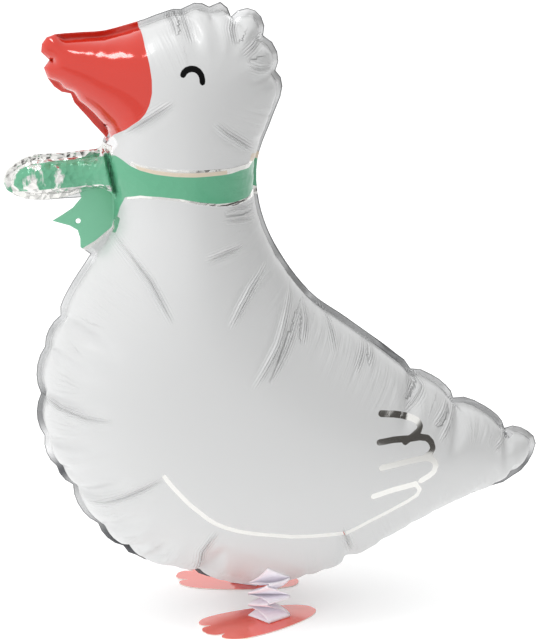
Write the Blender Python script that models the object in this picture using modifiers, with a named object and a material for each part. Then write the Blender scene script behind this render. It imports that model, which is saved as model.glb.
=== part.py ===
"""A goose foil balloon that stands on folded paper legs and card feet.

The balloon is two foil panels cut to one outline and welded along its edge, with a flat tab welded
below the bow. It faces -X, its own left side is at -Y, and the floor is at Z = 0. All sizes are in metres.
"""

import math

import bmesh
import bpy
import numpy as np
from mathutils import Matrix, Vector
from mathutils.bvhtree import BVHTree
from mathutils.geometry import delaunay_2d_cdt, interpolate_bezier

# The goose, from the floor to its crown.
GOOSE_HEIGHT = 0.6175

# The foil balloon.
FLANGE_WIDTH = 0.008
FLANGE_THICKNESS = 0.0008
FULLNESS = 0.85
WELD_FULLNESS = 0.18
PLEAT_LENGTH = 0.055
PLEAT_DEPTH = 0.34
CREASE_SPREAD = 0.0045
SCALLOP_ANGLE = math.radians(32)
PUNCH_RADIUS = 0.0025

# The balloon's triangles: their sides along the cut edge, their sides far from it, the nearest that two
# points may be, rings of points that follow the weld this far inside it, and how often points are evened out.
EDGE_STEP = 0.0086
INNER_STEP = 0.0150
NEAREST = 0.0046
RING_DEPTHS = (0.0055, 0.013, 0.024)
RELAX_ROUNDS = 4

# A paper leg: two strips folded over and over each other.
STRIP_WIDTH = 0.0290
STRIP_THICKNESS = 0.0004
LEAVES = 12
LEAF_CLEARANCE = 0.0006
FOLD_SLACK = 0.0008
LEAF_GRID = 4
LEG_TURN = math.radians(58)

# A card foot. Its middle is ahead of its leg's middle, and further out.
FOOT_LENGTH = 0.129
FOOT_WIDTH = 0.072
CARD_THICKNESS = 0.0012
FOOT_AHEAD = 0.011
FOOT_OUT = 0.007
FOOT_SPLAY = math.radians(22)
FOOT_STEP = 0.0032

# Pieces that touch keep these gaps in the model: a leg and its foot, and a leg and the faceted belly.
FOOT_GAP = 0.0003
BELLY_GAP = 0.0015

ROUND, CORNER, PLEAT = "round", "corner", "pleat"

# The cut edge of the foil, clockwise as seen from the goose's left, in hundredths of its height: along X and
# up Z. A pleat is a point where the edge is drawn in, with a scallop on each side of it.
CUT_EDGE = (
    # beak, from its tip along the top
    (-37.6, 93.0, ROUND), (-36.7, 95.3, ROUND), (-32.5, 95.9, ROUND), (-27.5, 96.1, ROUND),
    (-22.5, 97.3, ROUND),
    # crown
    (-18.0, 98.8, ROUND), (-15.5, 99.1, PLEAT), (-13.4, 100.0, ROUND), (-11.0, 99.3, PLEAT),
    (-9.2, 100.0, ROUND), (-7.4, 97.5, PLEAT), (-4.8, 98.8, ROUND), (-2.6, 97.4, ROUND),
    (-2.3, 94.4, PLEAT), (0.0, 91.7, ROUND), (-0.3, 88.7, PLEAT),
    # nape and back
    (0.8, 86.2, ROUND), (-0.8, 81.5, ROUND), (-3.2, 74.5, ROUND), (-3.0, 67.5, ROUND),
    (-0.4, 60.5, ROUND), (5.2, 52.5, ROUND), (11.2, 47.9, ROUND), (19.6, 41.3, ROUND),
    # tail
    (22.2, 38.5, PLEAT), (25.6, 37.4, ROUND), (28.3, 35.3, ROUND), (29.6, 33.0, PLEAT),
    (34.8, 31.5, ROUND), (38.5, 27.2, PLEAT), (41.3, 27.2, ROUND), (44.0, 24.2, ROUND), (40.0, 18.9, PLEAT),
    # underside
    (36.5, 17.2, ROUND), (27.7, 14.3, ROUND), (15.7, 8.9, ROUND), (11.7, 7.0, PLEAT),
    (6.0, 4.7, ROUND), (-2.5, 3.2, ROUND), (-10.2, 4.2, ROUND),
    # belly
    (-14.4, 6.6, PLEAT), (-18.8, 7.4, ROUND), (-23.5, 9.1, PLEAT), (-25.7, 11.0, PLEAT),
    (-29.8, 15.1, PLEAT), (-33.8, 22.0, PLEAT), (-36.3, 25.1, PLEAT), (-38.2, 30.4, PLEAT),
    (-38.7, 37.7, PLEAT), (-37.9, 45.5, PLEAT), (-35.3, 50.4, PLEAT),
    # breast
    (-34.1, 54.4, ROUND), (-30.3, 60.2, CORNER),
    # the bow's flat tail
    (-31.9, 61.4, CORNER), (-32.3, 64.2, ROUND), (-36.3, 65.9, CORNER), (-33.0, 67.9, ROUND),
    (-31.6, 69.5, CORNER),
    # the bow's loop
    (-40.5, 69.6, ROUND), (-44.0, 72.6, ROUND), (-40.5, 76.3, ROUND), (-34.8, 76.8, ROUND),
    (-28.7, 77.2, CORNER),
    # throat and jaw
    (-27.5, 79.0, CORNER), (-30.6, 82.6, ROUND), (-33.0, 86.2, PLEAT), (-35.6, 87.4, ROUND),
    (-37.2, 90.5, ROUND), (-36.3, 91.7, PLEAT),
)

# The weld behind the bow's flat tail, from the loop to the breast, in the same shares. The tail's side of it
# isn't inflated.
TAB_WELD = ((-32.0, 70.9), (-28.4, 71.2), (-26.7, 71.0), (-26.4, 68.0), (-26.6, 64.6), (-28.2, 61.2))
TAB_FAR_SIDE = ((-30.3, 60.2), (-40.0, 61.0), (-40.0, 69.2), (-31.6, 69.2))
PUNCH_CENTRE = (-32.2, 65.7)

# Where the middle of a leg is under the belly, in the same shares: along X from the middle of the cut edge,
# and out from the plane of the weld.
LEG_PLACE = (-3.1, 8.9)

# Folds in the foil that no pleat starts: their two ends in the same shares, and how deep they are as a share
# of the swell.
FOLDS = (
    # where the loop meets the neck
    ((-27.9, 78.3), (-26.7, 71.4), 0.6),
)

# Half of a foot's edge, in shares of its length from the heel and of half its width.
FOOT_EDGE = (
    (0.00, 0.00, ROUND), (0.02, 0.26, ROUND), (0.12, 0.54, ROUND), (0.30, 0.78, ROUND), (0.52, 0.95, ROUND),
    (0.72, 1.00, ROUND), (0.85, 0.94, ROUND), (0.93, 0.74, ROUND), (0.94, 0.52, ROUND), (0.885, 0.36, CORNER),
    (0.96, 0.33, ROUND), (1.00, 0.14, ROUND), (1.00, 0.00, ROUND),
)

COLOURS = {
    "foil": ((0.86, 0.87, 0.88, 1.0), 0.32, 0.1),
    "paper": ((0.90, 0.89, 0.92, 1.0), 0.75, 0.0),
    "card": ((0.85, 0.16, 0.10, 1.0), 0.45, 0.0),
}


def clear_scene():
    for obj in list(bpy.data.objects):
        bpy.data.objects.remove(obj, do_unlink=True)


def new_collection(name):
    collection = bpy.data.collections.new(name)
    bpy.context.scene.collection.children.link(collection)
    return collection


def finish_material(name):
    """A Principled material from the table of colours."""
    material = bpy.data.materials.get(name) or bpy.data.materials.new(name)
    material.use_nodes = True
    shader = material.node_tree.nodes["Principled BSDF"]
    colour, roughness, metallic = COLOURS[name]
    shader.inputs["Base Color"].default_value = colour
    shader.inputs["Roughness"].default_value = roughness
    shader.inputs["Metallic"].default_value = metallic
    return material


def add_object(name, mesh, collection, material):
    obj = bpy.data.objects.new(name, mesh)
    collection.objects.link(obj)
    obj.data.materials.append(finish_material(material))
    return obj


def turned(direction, angle):
    """A flat direction turned left by an angle."""
    c, s = math.cos(angle), math.sin(angle)
    return Vector((direction.x * c - direction.y * s, direction.x * s + direction.y * c))


def bezier_segment(points, kinds, i):
    """The four Bezier points from control point i to the next one, on a closed edge that runs clockwise."""
    n = len(points)
    a, b = points[i], points[(i + 1) % n]
    chord = b - a
    third = chord.length / 3

    def round_direction(k):
        return (points[(k + 1) % n] - points[k - 1]).normalized()

    last = kinds[(i + 1) % n]
    bulge = SCALLOP_ANGLE if PLEAT in (kinds[i], last) else 0.0
    leave = round_direction(i) if kinds[i] == ROUND else turned(chord.normalized(), bulge)
    arrive = round_direction((i + 1) % n) if last == ROUND else turned(chord.normalized(), -bulge)
    return a, a + leave * third, b - arrive * third, b


def closed_edge(points, kinds, step):
    """Evenly spaced points along a closed edge, with its corners and pleats kept. Also the index of each
    control point in them."""
    edge, starts = [], []
    for i in range(len(points)):
        fine = interpolate_bezier(*bezier_segment(points, kinds, i), 25)
        along = np.concatenate([[0], np.cumsum([(q - p).length for p, q in zip(fine, fine[1:])])])
        pieces = max(1, round(along[-1] / step))
        starts.append(len(edge))
        for t in np.linspace(0, along[-1], pieces, endpoint=False):
            edge.append([np.interp(t, along, [p[k] for p in fine]) for k in (0, 1)])
    return np.array(edge), starts


def outward_normals(edge):
    """Outward unit normals of a clockwise edge: at each point, of the side before it and of the side after."""
    def normals(along):
        across = np.stack([-along[:, 1], along[:, 0]], axis=1)
        return across / np.linalg.norm(across, axis=1)[:, None]

    after = np.roll(edge, -1, axis=0) - edge
    before = np.roll(after, 1, axis=0)
    return normals(before + after), normals(before), normals(after)


def distance_to_line(points, line, closed=True):
    """How far each point is from a line of points."""
    ends = np.roll(line, -1, axis=0) if closed else line[1:]
    starts = line if closed else line[:-1]
    along = ends - starts
    offset = points[:, None, :] - starts[None, :, :]
    share = np.clip((offset * along).sum(2) / np.maximum((along * along).sum(1), 1e-12), 0, 1)
    return np.linalg.norm(offset - share[:, :, None] * along, axis=2).min(1)


def inside(points, line):
    """Which points lie inside a closed line."""
    x, z = points[:, 0][:, None], points[:, 1][:, None]
    ax, az = line[:, 0], line[:, 1]
    bx, bz = np.roll(ax, -1), np.roll(az, -1)
    crosses = (az > z) != (bz > z)
    at = ax + (z - az) * (bx - ax) / np.where(np.abs(bz - az) < 1e-12, 1e-12, bz - az)
    return (crosses & (x < at)).sum(1) % 2 == 1


def thin_out(points, spacing):
    """The points in order, without those that come nearer than the spacing to one that is kept."""
    kept = []
    for p in points:
        if all((p[0] - q[0]) ** 2 + (p[1] - q[1]) ** 2 > spacing * spacing for q in kept):
            kept.append(p)
    return kept


def inner_points(edge, lines):
    """Points inside the cut edge: the given lines, rings that follow the weld, then an even field.
    Also how many of them lie on the lines or the weld."""
    normals = outward_normals(edge)

    def clear(points, depth):
        points = np.array(points)
        return points[inside(points, edge) & (distance_to_line(points, edge) > depth)]

    def ring(depth):
        return clear(np.concatenate([edge - n * depth for n in normals]), depth * 0.93)

    on_lines = clear([p for line in lines for p in line], FLANGE_WIDTH)
    firm = thin_out([*on_lines, *ring(FLANGE_WIDTH)], NEAREST)
    soft = [p for depth in RING_DEPTHS for p in ring(FLANGE_WIDTH + depth)]
    low, high = edge.min(0), edge.max(0)
    row = INNER_STEP * math.sqrt(3) / 2
    field = [
        (low[0] + INNER_STEP * (i + 0.5 * (j % 2)), low[1] + row * j)
        for j in range(int((high[1] - low[1]) / row) + 1)
        for i in range(int((high[0] - low[0]) / INNER_STEP) + 1)
    ]
    field = clear(field, FLANGE_WIDTH + RING_DEPTHS[-1] + INNER_STEP * 0.4)
    return np.array(thin_out([*firm, *soft, *field], NEAREST)), len(firm)


def triangulate(edge, inner):
    """Points and triangles that fill the cut edge. The edge's points come first."""
    points = [Vector(p) for p in np.concatenate([edge, inner])]
    sides = [(i, (i + 1) % len(edge)) for i in range(len(edge))]
    found, _, triangles, *_ = delaunay_2d_cdt(points, sides, [], 1, 1e-6)
    return np.array([tuple(p) for p in found]), np.array([tuple(t) for t in triangles])


def panel_swell(points, triangles, held):
    """How far a panel swells at each point.

    The square root of an evenly loaded membrane's sag gives a round section in a long narrow shape and a lens
    in a wide one. A foil balloon is fuller than that beside its weld."""
    n = len(points)
    stiffness, load = np.zeros((n, n)), np.zeros(n)
    for t in triangles:
        p = points[t]
        sides = np.roll(p, -2, axis=0) - np.roll(p, -1, axis=0)
        area = abs(np.linalg.det(sides[:2])) / 2
        stiffness[np.ix_(t, t)] += sides @ sides.T / (4 * area)
        load[t] += area / 3
    free = ~held
    sag = np.zeros(n)
    sag[free] = np.linalg.solve(stiffness[np.ix_(free, free)], load[free])
    lens = np.sqrt(2 * np.maximum(sag, 0))
    return FULLNESS * lens * (1 + WELD_FULLNESS * (1 - (lens / lens.max()) ** 3))


def even_out(edge, inner, firm):
    """Points and triangles that fill the cut edge, after the loose inner points have moved to the middle of
    their neighbours a few times."""
    points, triangles = triangulate(edge, inner)
    loose = np.arange(len(points)) >= len(edge) + firm
    for _ in range(RELAX_ROUNDS):
        total, count = np.zeros_like(points), np.zeros(len(points))
        for a, b in ((0, 1), (1, 2), (2, 0)):
            for here, there in ((a, b), (b, a)):
                np.add.at(total, triangles[:, here], points[triangles[:, there]])
                np.add.at(count, triangles[:, here], 1)
        points[loose] = (total / np.maximum(count, 1)[:, None])[loose]
        points, triangles = triangulate(edge, points[len(edge):])
    return points, triangles


def crease_lines(edge, starts, kinds, place):
    """Each crease as its two ends, and how deep it is at each as a share of the swell."""
    normals = outward_normals(edge)[0]
    lines = []
    for start, kind in zip(starts, kinds):
        if kind == PLEAT:
            first = edge[start] - normals[start] * FLANGE_WIDTH
            last = edge[start] - normals[start] * PLEAT_LENGTH
            lines.append((first, last, PLEAT_DEPTH, 0.0))
    for first, last, depth in FOLDS:
        lines.append((place(first), place(last), depth, depth))
    return lines


def on_crease(crease):
    """Points along a crease."""
    first, last = crease[:2]
    length = np.linalg.norm(last - first)
    return [first + (last - first) * d / length for d in np.arange(NEAREST, length, EDGE_STEP)]


def crease_factor(points, creases):
    """How much of the swell is left at each point beside the creases."""
    left = np.ones(len(points))
    for first, last, deep, shallow in creases:
        along = last - first
        share = np.clip(((points - first) @ along) / (along @ along), 0, 1)
        apart = np.linalg.norm(points - first - share[:, None] * along, axis=1)
        left *= 1 - (deep + (shallow - deep) * share) * np.exp(-((apart / CREASE_SPREAD) ** 2))
    return left


def panel_faces(edge, points, triangles, swell):
    """A bmesh of the left panel, from its rim on the plane Y = 0 out to its swollen face."""
    half = FLANGE_THICKNESS / 2
    shape = bmesh.new()
    face = [shape.verts.new((p[0], -half - s, p[1])) for p, s in zip(points, swell)]
    for t in triangles:
        shape.faces.new([face[i] for i in t])
    rim = [e for e in shape.edges if len(e.link_faces) == 1]
    grown = bmesh.ops.extrude_edge_only(shape, edges=rim)["geom"]
    for v in grown:
        if isinstance(v, bmesh.types.BMVert):
            v.co.y = 0.0
    bmesh.ops.recalc_face_normals(shape, faces=shape.faces)
    shape.normal_update()
    if shape.faces[0].normal.y > 0:
        bmesh.ops.reverse_faces(shape, faces=shape.faces)
    return shape


def cut_edge_points():
    """The control points of the cut edge in metres with their middle at X = 0, and a function that turns
    shares of the height into such points."""
    share = GOOSE_HEIGHT / 100
    middle = (max(x for x, _, _ in CUT_EDGE) + min(x for x, _, _ in CUT_EDGE)) / 2

    def place(pair):
        return np.array([(pair[0] - middle) * share, pair[1] * share])

    return [Vector(place(p)) for p in CUT_EDGE], place


def build_balloon(collection, cutters):
    """The welded foil envelope, as one closed solid."""
    control, place = cut_edge_points()
    kinds = [kind for _, _, kind in CUT_EDGE]
    edge, starts = closed_edge(control, kinds, EDGE_STEP)
    weld = np.array([place(p) for p in TAB_WELD])
    tab = np.concatenate([weld, [place(p) for p in TAB_FAR_SIDE]])
    weld_points = [a + (b - a) * t for a, b in zip(weld, weld[1:]) for t in (0, 1 / 3, 2 / 3)]
    creases = crease_lines(edge, starts, kinds, place)
    inner, firm = inner_points(edge, [weld_points, *(on_crease(c) for c in creases)])
    points, triangles = even_out(edge, inner, firm)
    held = distance_to_line(points, edge) < FLANGE_WIDTH * 1.04
    held |= inside(points, tab) | (distance_to_line(points, weld, closed=False) < NEAREST / 4)
    swell = panel_swell(points, triangles, held) * crease_factor(points, creases)
    shape = panel_faces(edge, points, triangles, swell)
    mesh = bpy.data.meshes.new("balloon")
    shape.to_mesh(mesh)
    shape.free()
    balloon = add_object("balloon", mesh, collection, "foil")
    mirror = balloon.modifiers.new("other panel", "MIRROR")
    mirror.use_axis = (False, True, False)
    mirror.merge_threshold = 0.00005

    x, z = place(PUNCH_CENTRE)
    bpy.ops.mesh.primitive_cylinder_add(
        vertices=20, radius=PUNCH_RADIUS, depth=FLANGE_THICKNESS * 10, location=(x, 0, z),
        rotation=(math.pi / 2, 0, 0),
    )
    punch = bpy.context.object
    punch.name = "punch"
    for owner in list(punch.users_collection):
        owner.objects.unlink(punch)
    cutters.objects.link(punch)
    punch.hide_render = True
    punch.display_type = "WIRE"
    hole = balloon.modifiers.new("punched hole", "BOOLEAN")
    hole.object = punch
    mesh.shade_smooth()
    mesh.set_sharp_from_angle(angle=math.radians(50))
    return balloon


def leg_middle(side):
    """Where the middle of a leg is on the floor. Side is -1 for the goose's left and 1 for its right."""
    return Vector((LEG_PLACE[0], side * LEG_PLACE[1])) * GOOSE_HEIGHT / 100


def foot_outline():
    """A foot's edge seen from above, with its middle at the origin and its toes along +X, clockwise."""
    half = [Vector(((x - 0.5) * FOOT_LENGTH, y * FOOT_WIDTH / 2)) for x, y, _ in FOOT_EDGE]
    kinds = [kind for _, _, kind in FOOT_EDGE]
    other = [Vector((p.x, -p.y)) for p in half[-2:0:-1]]
    edge, _ = closed_edge(half + other, kinds + kinds[-2:0:-1], FOOT_STEP)
    return edge


def build_foot(side, name, collection):
    """One card foot, flat on the floor."""
    curve = bpy.data.curves.new(name, "CURVE")
    curve.dimensions = "2D"
    curve.fill_mode = "BOTH"
    curve.extrude = CARD_THICKNESS / 2
    edge = foot_outline()
    spline = curve.splines.new("POLY")
    spline.points.add(len(edge) - 1)
    for point, (x, y) in zip(spline.points, edge):
        point.co = (x, y, 0, 1)
    spline.use_cyclic_u = True
    foot = add_object(name, curve, collection, "card")
    leg = leg_middle(side)
    foot.location = (leg.x - FOOT_AHEAD, leg.y + side * FOOT_OUT, CARD_THICKNESS / 2)
    foot.rotation_euler = (0, 0, math.pi - side * FOOT_SPLAY)


def leaf_opening(leaf, u, v):
    """How far the leg has opened at (u, v) of a leaf, each from 0 to 1, as a share of its whole opening.

    The leaves of the two strips take turns. Each strip turns back at a fold, on the four sides in turn, so
    from one leaf to the next only one corner of the square opens."""
    opened, whole = 0.0, 0.0
    for late, (cu, cv) in enumerate(((0, 1), (0, 0), (1, 0), (1, 1))):
        weight = (u if cu else 1 - u) * (v if cv else 1 - v)
        opened += weight * ((leaf + 3 - late) // 4)
        whole += weight * ((LEAVES + 2 - late) // 4)
    return opened / whole


def build_strip(first, frame, under, name, collection):
    """One folded paper strip of a leg. It has every second leaf, from the given first one."""
    grid = [k / LEAF_GRID for k in range(LEAF_GRID + 1)]
    pitch = STRIP_THICKNESS + LEAF_CLEARANCE
    bottom = CARD_THICKNESS + FOOT_GAP + STRIP_THICKNESS
    shape = bmesh.new()
    rows = []
    for leaf in range(first, LEAVES, 2):
        along_u = leaf % 2 == 0
        length_u = STRIP_WIDTH + (2 * FOLD_SLACK if along_u else 0)
        length_v = STRIP_WIDTH + (0 if along_u else 2 * FOLD_SLACK)
        for along in grid if (leaf // 2) % 2 == 0 else grid[::-1]:
            row = []
            for across in grid:
                u, v = (along, across) if along_u else (across, along)
                place = frame @ Vector(((u - 0.5) * length_u, (v - 0.5) * length_v, 0))
                room = under(place.x, place.y) - BELLY_GAP - STRIP_THICKNESS - bottom - pitch * (LEAVES - 1)
                height = bottom + pitch * leaf + room * leaf_opening(leaf, u, v)
                row.append(shape.verts.new((place.x, place.y, height)))
            rows.append(row)
    for low, high in zip(rows, rows[1:]):
        for k in range(LEAF_GRID):
            shape.faces.new((low[k], low[k + 1], high[k + 1], high[k]))
    mesh = bpy.data.meshes.new(name)
    shape.to_mesh(mesh)
    shape.free()
    strip = add_object(name, mesh, collection, "paper")
    solid = strip.modifiers.new("paper", "SOLIDIFY")
    solid.thickness = STRIP_THICKNESS
    solid.offset = 0


def underside_of(balloon):
    """A function that gives the height of the balloon's underside above a point of the floor."""
    tree = BVHTree.FromObject(balloon, bpy.context.evaluated_depsgraph_get())

    def under(x, y):
        return tree.ray_cast(Vector((x, y, -GOOSE_HEIGHT)), Vector((0, 0, 1)))[0].z

    return under


def build_leg(side, name, under, collection):
    """One leg of two folded strips, between a foot and the belly. The right one mirrors the left."""
    left = Matrix.Translation(leg_middle(-1).to_3d()) @ Matrix.Rotation(-LEG_TURN, 4, "Z")
    frame = Matrix.Diagonal((1, -side, 1, 1)) @ left
    for first, strip in enumerate("ab"):
        build_strip(first, frame, under, f"{name}_strip_{strip}", collection)


def main():
    clear_scene()
    parts = new_collection("goose foil balloon")
    cutters = new_collection("cutters")
    balloon = build_balloon(parts, cutters)
    bpy.context.view_layer.update()
    under = underside_of(balloon)
    for side, word in ((-1, "left"), (1, "right")):
        build_foot(side, f"foot_{word}", parts)
        build_leg(side, f"leg_{word}", under, parts)


main()
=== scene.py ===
import math

import bmesh
import bpy
import numpy as np
from mathutils import Matrix, Vector, noise
from mathutils.bvhtree import BVHTree
from mathutils.geometry import barycentric_transform, delaunay_2d_cdt, interpolate_bezier


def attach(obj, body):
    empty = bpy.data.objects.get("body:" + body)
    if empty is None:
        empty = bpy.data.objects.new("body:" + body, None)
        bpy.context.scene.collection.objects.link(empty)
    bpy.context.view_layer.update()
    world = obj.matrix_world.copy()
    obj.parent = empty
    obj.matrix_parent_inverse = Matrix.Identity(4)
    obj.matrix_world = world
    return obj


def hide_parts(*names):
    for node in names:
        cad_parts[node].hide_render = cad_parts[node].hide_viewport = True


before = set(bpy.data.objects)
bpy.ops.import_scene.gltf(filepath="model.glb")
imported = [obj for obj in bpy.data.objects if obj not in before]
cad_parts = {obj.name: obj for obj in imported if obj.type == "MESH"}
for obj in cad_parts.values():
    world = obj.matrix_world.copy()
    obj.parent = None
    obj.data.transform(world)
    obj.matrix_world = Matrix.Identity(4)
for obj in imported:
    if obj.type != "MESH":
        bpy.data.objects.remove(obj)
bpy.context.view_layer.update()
scene = bpy.context.scene

# The camera stands at the goose's left and a little ahead of it, and looks down at it from three metres. How
# long its lens is comes from the photograph, in pixels.
camera_azimuth = math.radians(-11)
camera_height = math.radians(15)
camera_distance = 3.0
camera_target = Vector((-0.0085, 0, 0.296))
photo_width, photo_height = 538, 639
focal_pixels = 3000
camera = bpy.data.objects.new("camera", bpy.data.cameras.new("camera"))
scene.collection.objects.link(camera)
camera.data.lens = camera.data.sensor_width * focal_pixels / photo_height
camera_back = Vector((
    math.sin(camera_azimuth) * math.cos(camera_height),
    -math.cos(camera_azimuth) * math.cos(camera_height),
    math.sin(camera_height),
))
camera.location = camera_target + camera_back * camera_distance
camera.rotation_mode = "QUATERNION"
camera_turn = camera_back.to_track_quat("Z", "Y")
camera.rotation_quaternion = camera_turn
scene.camera = camera
scene.view_settings.view_transform = "Standard"

# The foil cut. Two sheets of printed foil are laid together and cut to one outline, which is drawn here in
# hundredths of the goose's height, clockwise from the beak's tip. At a pleat the welded edge is drawn in,
# and a point without a word is round.
ROUND, CORNER, PLEAT = "round", "corner", "pleat"
GOOSE_HEIGHT = 0.6175
FLANGE_WIDTH = 0.0066
SCALLOP_ANGLE = math.radians(32)
EDGE_STEP = 0.0100
CUT_EDGE = (
    # beak
    (-37.6, 93.0), (-36.7, 95.3), (-32.5, 95.9), (-27.5, 96.1), (-22.5, 97.3),
    # crown
    (-18.0, 98.8), (-15.5, 99.1, PLEAT), (-13.4, 100.0), (-11.0, 99.3, PLEAT), (-9.2, 100.0),
    (-7.4, 97.5, PLEAT), (-4.8, 98.8), (-2.6, 97.4), (-2.3, 94.4, PLEAT), (0.0, 91.7), (-0.3, 88.7, PLEAT),
    # nape and back
    (0.8, 86.2), (-0.8, 81.5), (-3.2, 74.5), (-3.0, 67.5), (-0.4, 60.5), (5.2, 52.5), (11.2, 47.9),
    (19.6, 41.3),
    # tail
    (22.2, 38.5, PLEAT), (25.6, 37.4), (28.3, 35.3), (29.6, 33.0, PLEAT), (34.8, 31.5), (38.5, 27.2, PLEAT),
    (41.3, 27.2), (44.0, 24.2), (40.0, 18.9, PLEAT),
    # underside
    (36.5, 17.2), (27.7, 14.3), (15.7, 8.8), (11.7, 6.7, PLEAT), (6.0, 4.7), (-2.5, 3.2), (-10.2, 4.2),
    # belly
    (-14.4, 6.6, PLEAT), (-18.8, 7.4), (-23.5, 9.1, PLEAT), (-25.7, 11.0, PLEAT), (-29.8, 15.1, PLEAT),
    (-33.8, 22.0, PLEAT), (-36.3, 25.1, PLEAT), (-38.2, 30.4, PLEAT), (-38.7, 37.7, PLEAT),
    (-37.9, 45.5, PLEAT), (-35.3, 50.4, PLEAT),
    # breast
    (-34.1, 54.4), (-30.3, 60.2, CORNER),
    # the bow's flat tail
    (-31.9, 61.4, CORNER), (-32.3, 64.2), (-36.3, 65.9, CORNER), (-33.0, 67.9), (-31.6, 69.5, CORNER),
    # the bow's loop
    (-40.5, 69.6), (-44.0, 72.6), (-40.5, 76.3), (-34.8, 76.8), (-28.7, 77.2, CORNER),
    # throat and jaw
    (-27.5, 79.0, CORNER), (-30.6, 82.6), (-33.0, 86.2, PLEAT), (-35.6, 87.4), (-37.2, 90.5),
    (-36.3, 91.7, PLEAT),
)
TAIL_WELD = ((-32.0, 70.9), (-28.4, 71.2), (-26.7, 71.0), (-26.4, 68.0), (-26.6, 64.6), (-28.2, 61.2))
TAIL_FAR_SIDE = ((-30.3, 60.2), (-40.0, 61.0), (-40.0, 69.2), (-31.6, 69.2))
PUNCH_CENTRE = (-32.2, 65.7)
PUNCH_RADIUS = 0.0025
NARROW_FLANGE = ((-33.0, 86.2), (-36.3, 91.7))
NARROW_REACH = 0.012
NARROWING = 1.3


def on_cut(pair):
    """A point of the cut in metres, from shares of the goose's height."""
    return np.array(pair[:2]) * GOOSE_HEIGHT / 100


def kinds_of(points):
    return [point[2] if len(point) > 2 else ROUND for point in points]


def turned(direction, angle):
    """A flat direction turned left by an angle."""
    c, s = math.cos(angle), math.sin(angle)
    return Vector((direction.x * c - direction.y * s, direction.x * s + direction.y * c))


def scallop(corners, kinds, i):
    """The Bezier points of the cut from one control point to the next."""
    n = len(corners)
    a, b = corners[i], corners[(i + 1) % n]
    chord = b - a
    third = chord.length / 3

    def round_direction(k):
        return (corners[(k + 1) % n] - corners[k - 1]).normalized()

    last = kinds[(i + 1) % n]
    bulge = SCALLOP_ANGLE if PLEAT in (kinds[i], last) else 0.0
    leave = round_direction(i) if kinds[i] == ROUND else turned(chord.normalized(), bulge)
    arrive = round_direction((i + 1) % n) if last == ROUND else turned(chord.normalized(), -bulge)
    return a, a + leave * third, b - arrive * third, b


def walk_round(corners, kinds, step):
    """Even points along the cut, and which of them are the control points."""
    found, starts = [], []
    for i in range(len(corners)):
        fine = interpolate_bezier(*scallop(corners, kinds, i), 25)
        along = np.concatenate([[0], np.cumsum([(q - p).length for p, q in zip(fine, fine[1:])])])
        pieces = max(1, round(along[-1] / step))
        starts.append(len(found))
        for t in np.linspace(0, along[-1], pieces, endpoint=False):
            found.append([np.interp(t, along, [p[k] for p in fine]) for k in (0, 1)])
    return np.array(found), np.array(starts)


def outward(edge):
    """Outward unit normals of the cut: at each point, of the side before it and of the side after."""
    def normals(along):
        across = np.stack([-along[:, 1], along[:, 0]], axis=1)
        return across / np.linalg.norm(across, axis=1)[:, None]

    after = np.roll(edge, -1, axis=0) - edge
    before = np.roll(after, 1, axis=0)
    return normals(before + after), normals(before), normals(after)


def depth_from(points, line, closed=True):
    """How far each point is from a line of points."""
    nearest = np.full(len(points), np.inf)
    for a, b in zip(line if closed else line[:-1], np.roll(line, -1, axis=0)):
        share = np.clip((points - a) @ (b - a) / max((b - a) @ (b - a), 1e-12), 0, 1)
        nearest = np.minimum(nearest, np.linalg.norm(points - a - share[:, None] * (b - a), axis=1))
    return nearest


def within(points, line):
    """Which points lie inside a closed line."""
    odd = np.zeros(len(points), bool)
    for (ax, az), (bx, bz) in zip(line, np.roll(line, -1, axis=0)):
        if az != bz:
            at = ax + (points[:, 1] - az) * (bx - ax) / (bz - az)
            odd ^= ((az > points[:, 1]) != (bz > points[:, 1])) & (points[:, 0] < at)
    return odd


def narrowed(points):
    """How many times narrower the flange is at each point. It is narrow at the beak's two notches."""
    near = [np.exp(-((points - on_cut(p)) ** 2).sum(1) / NARROW_REACH ** 2) for p in NARROW_FLANGE]
    return 1 + NARROWING * np.max(near, axis=0)


def seam_depth_of(points):
    """How far points are inside the cut, measured so that the weld is a flange's width inside it."""
    return depth_from(points, cut_edge) * narrowed(points)


cut_kinds = kinds_of(CUT_EDGE)
cut_edge, cut_starts = walk_round([Vector(on_cut(p)) for p in CUT_EDGE], cut_kinds, EDGE_STEP)
tail_weld = np.array([on_cut(p) for p in TAIL_WELD])
flat_tail = np.concatenate([tail_weld, [on_cut(p) for p in TAIL_FAR_SIDE]])
punch_centre = on_cut(PUNCH_CENTRE)
punch_edge = np.array([
    punch_centre + PUNCH_RADIUS * np.array((math.cos(a), math.sin(a)))
    for a in np.linspace(0, 2 * math.pi, 16, endpoint=False)
])

# One panel of the foil as a net of even triangles, with the weld a flange's width inside its edge. The bow's
# tail is welded flat, and it has a punched hole for the ribbon.
NET_STEP = 0.0106
NET_NEAREST = 0.0064
NET_ROUNDS = 4


def thin_out(points, spacing):
    """The points in order, without those that come nearer than the spacing to one that is kept."""
    kept, cells = [], {}
    for p in points:
        i, j = int(p[0] // spacing), int(p[1] // spacing)
        near = [q for u in (-1, 0, 1) for v in (-1, 0, 1) for q in cells.get((i + u, j + v), ())]
        if all((p[0] - q[0]) ** 2 + (p[1] - q[1]) ** 2 > spacing * spacing for q in near):
            kept.append(p)
            cells.setdefault((i, j), []).append(p)
    return kept


def clear_of_edge(points, depth):
    """Those of the points that are inside the cut by more than a depth."""
    points = np.array(points)
    points = points[within(points, cut_edge) & (seam_depth_of(points) > depth)]
    return points[np.linalg.norm(points - punch_centre, axis=1) > PUNCH_RADIUS + NET_NEAREST / 2]


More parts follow.
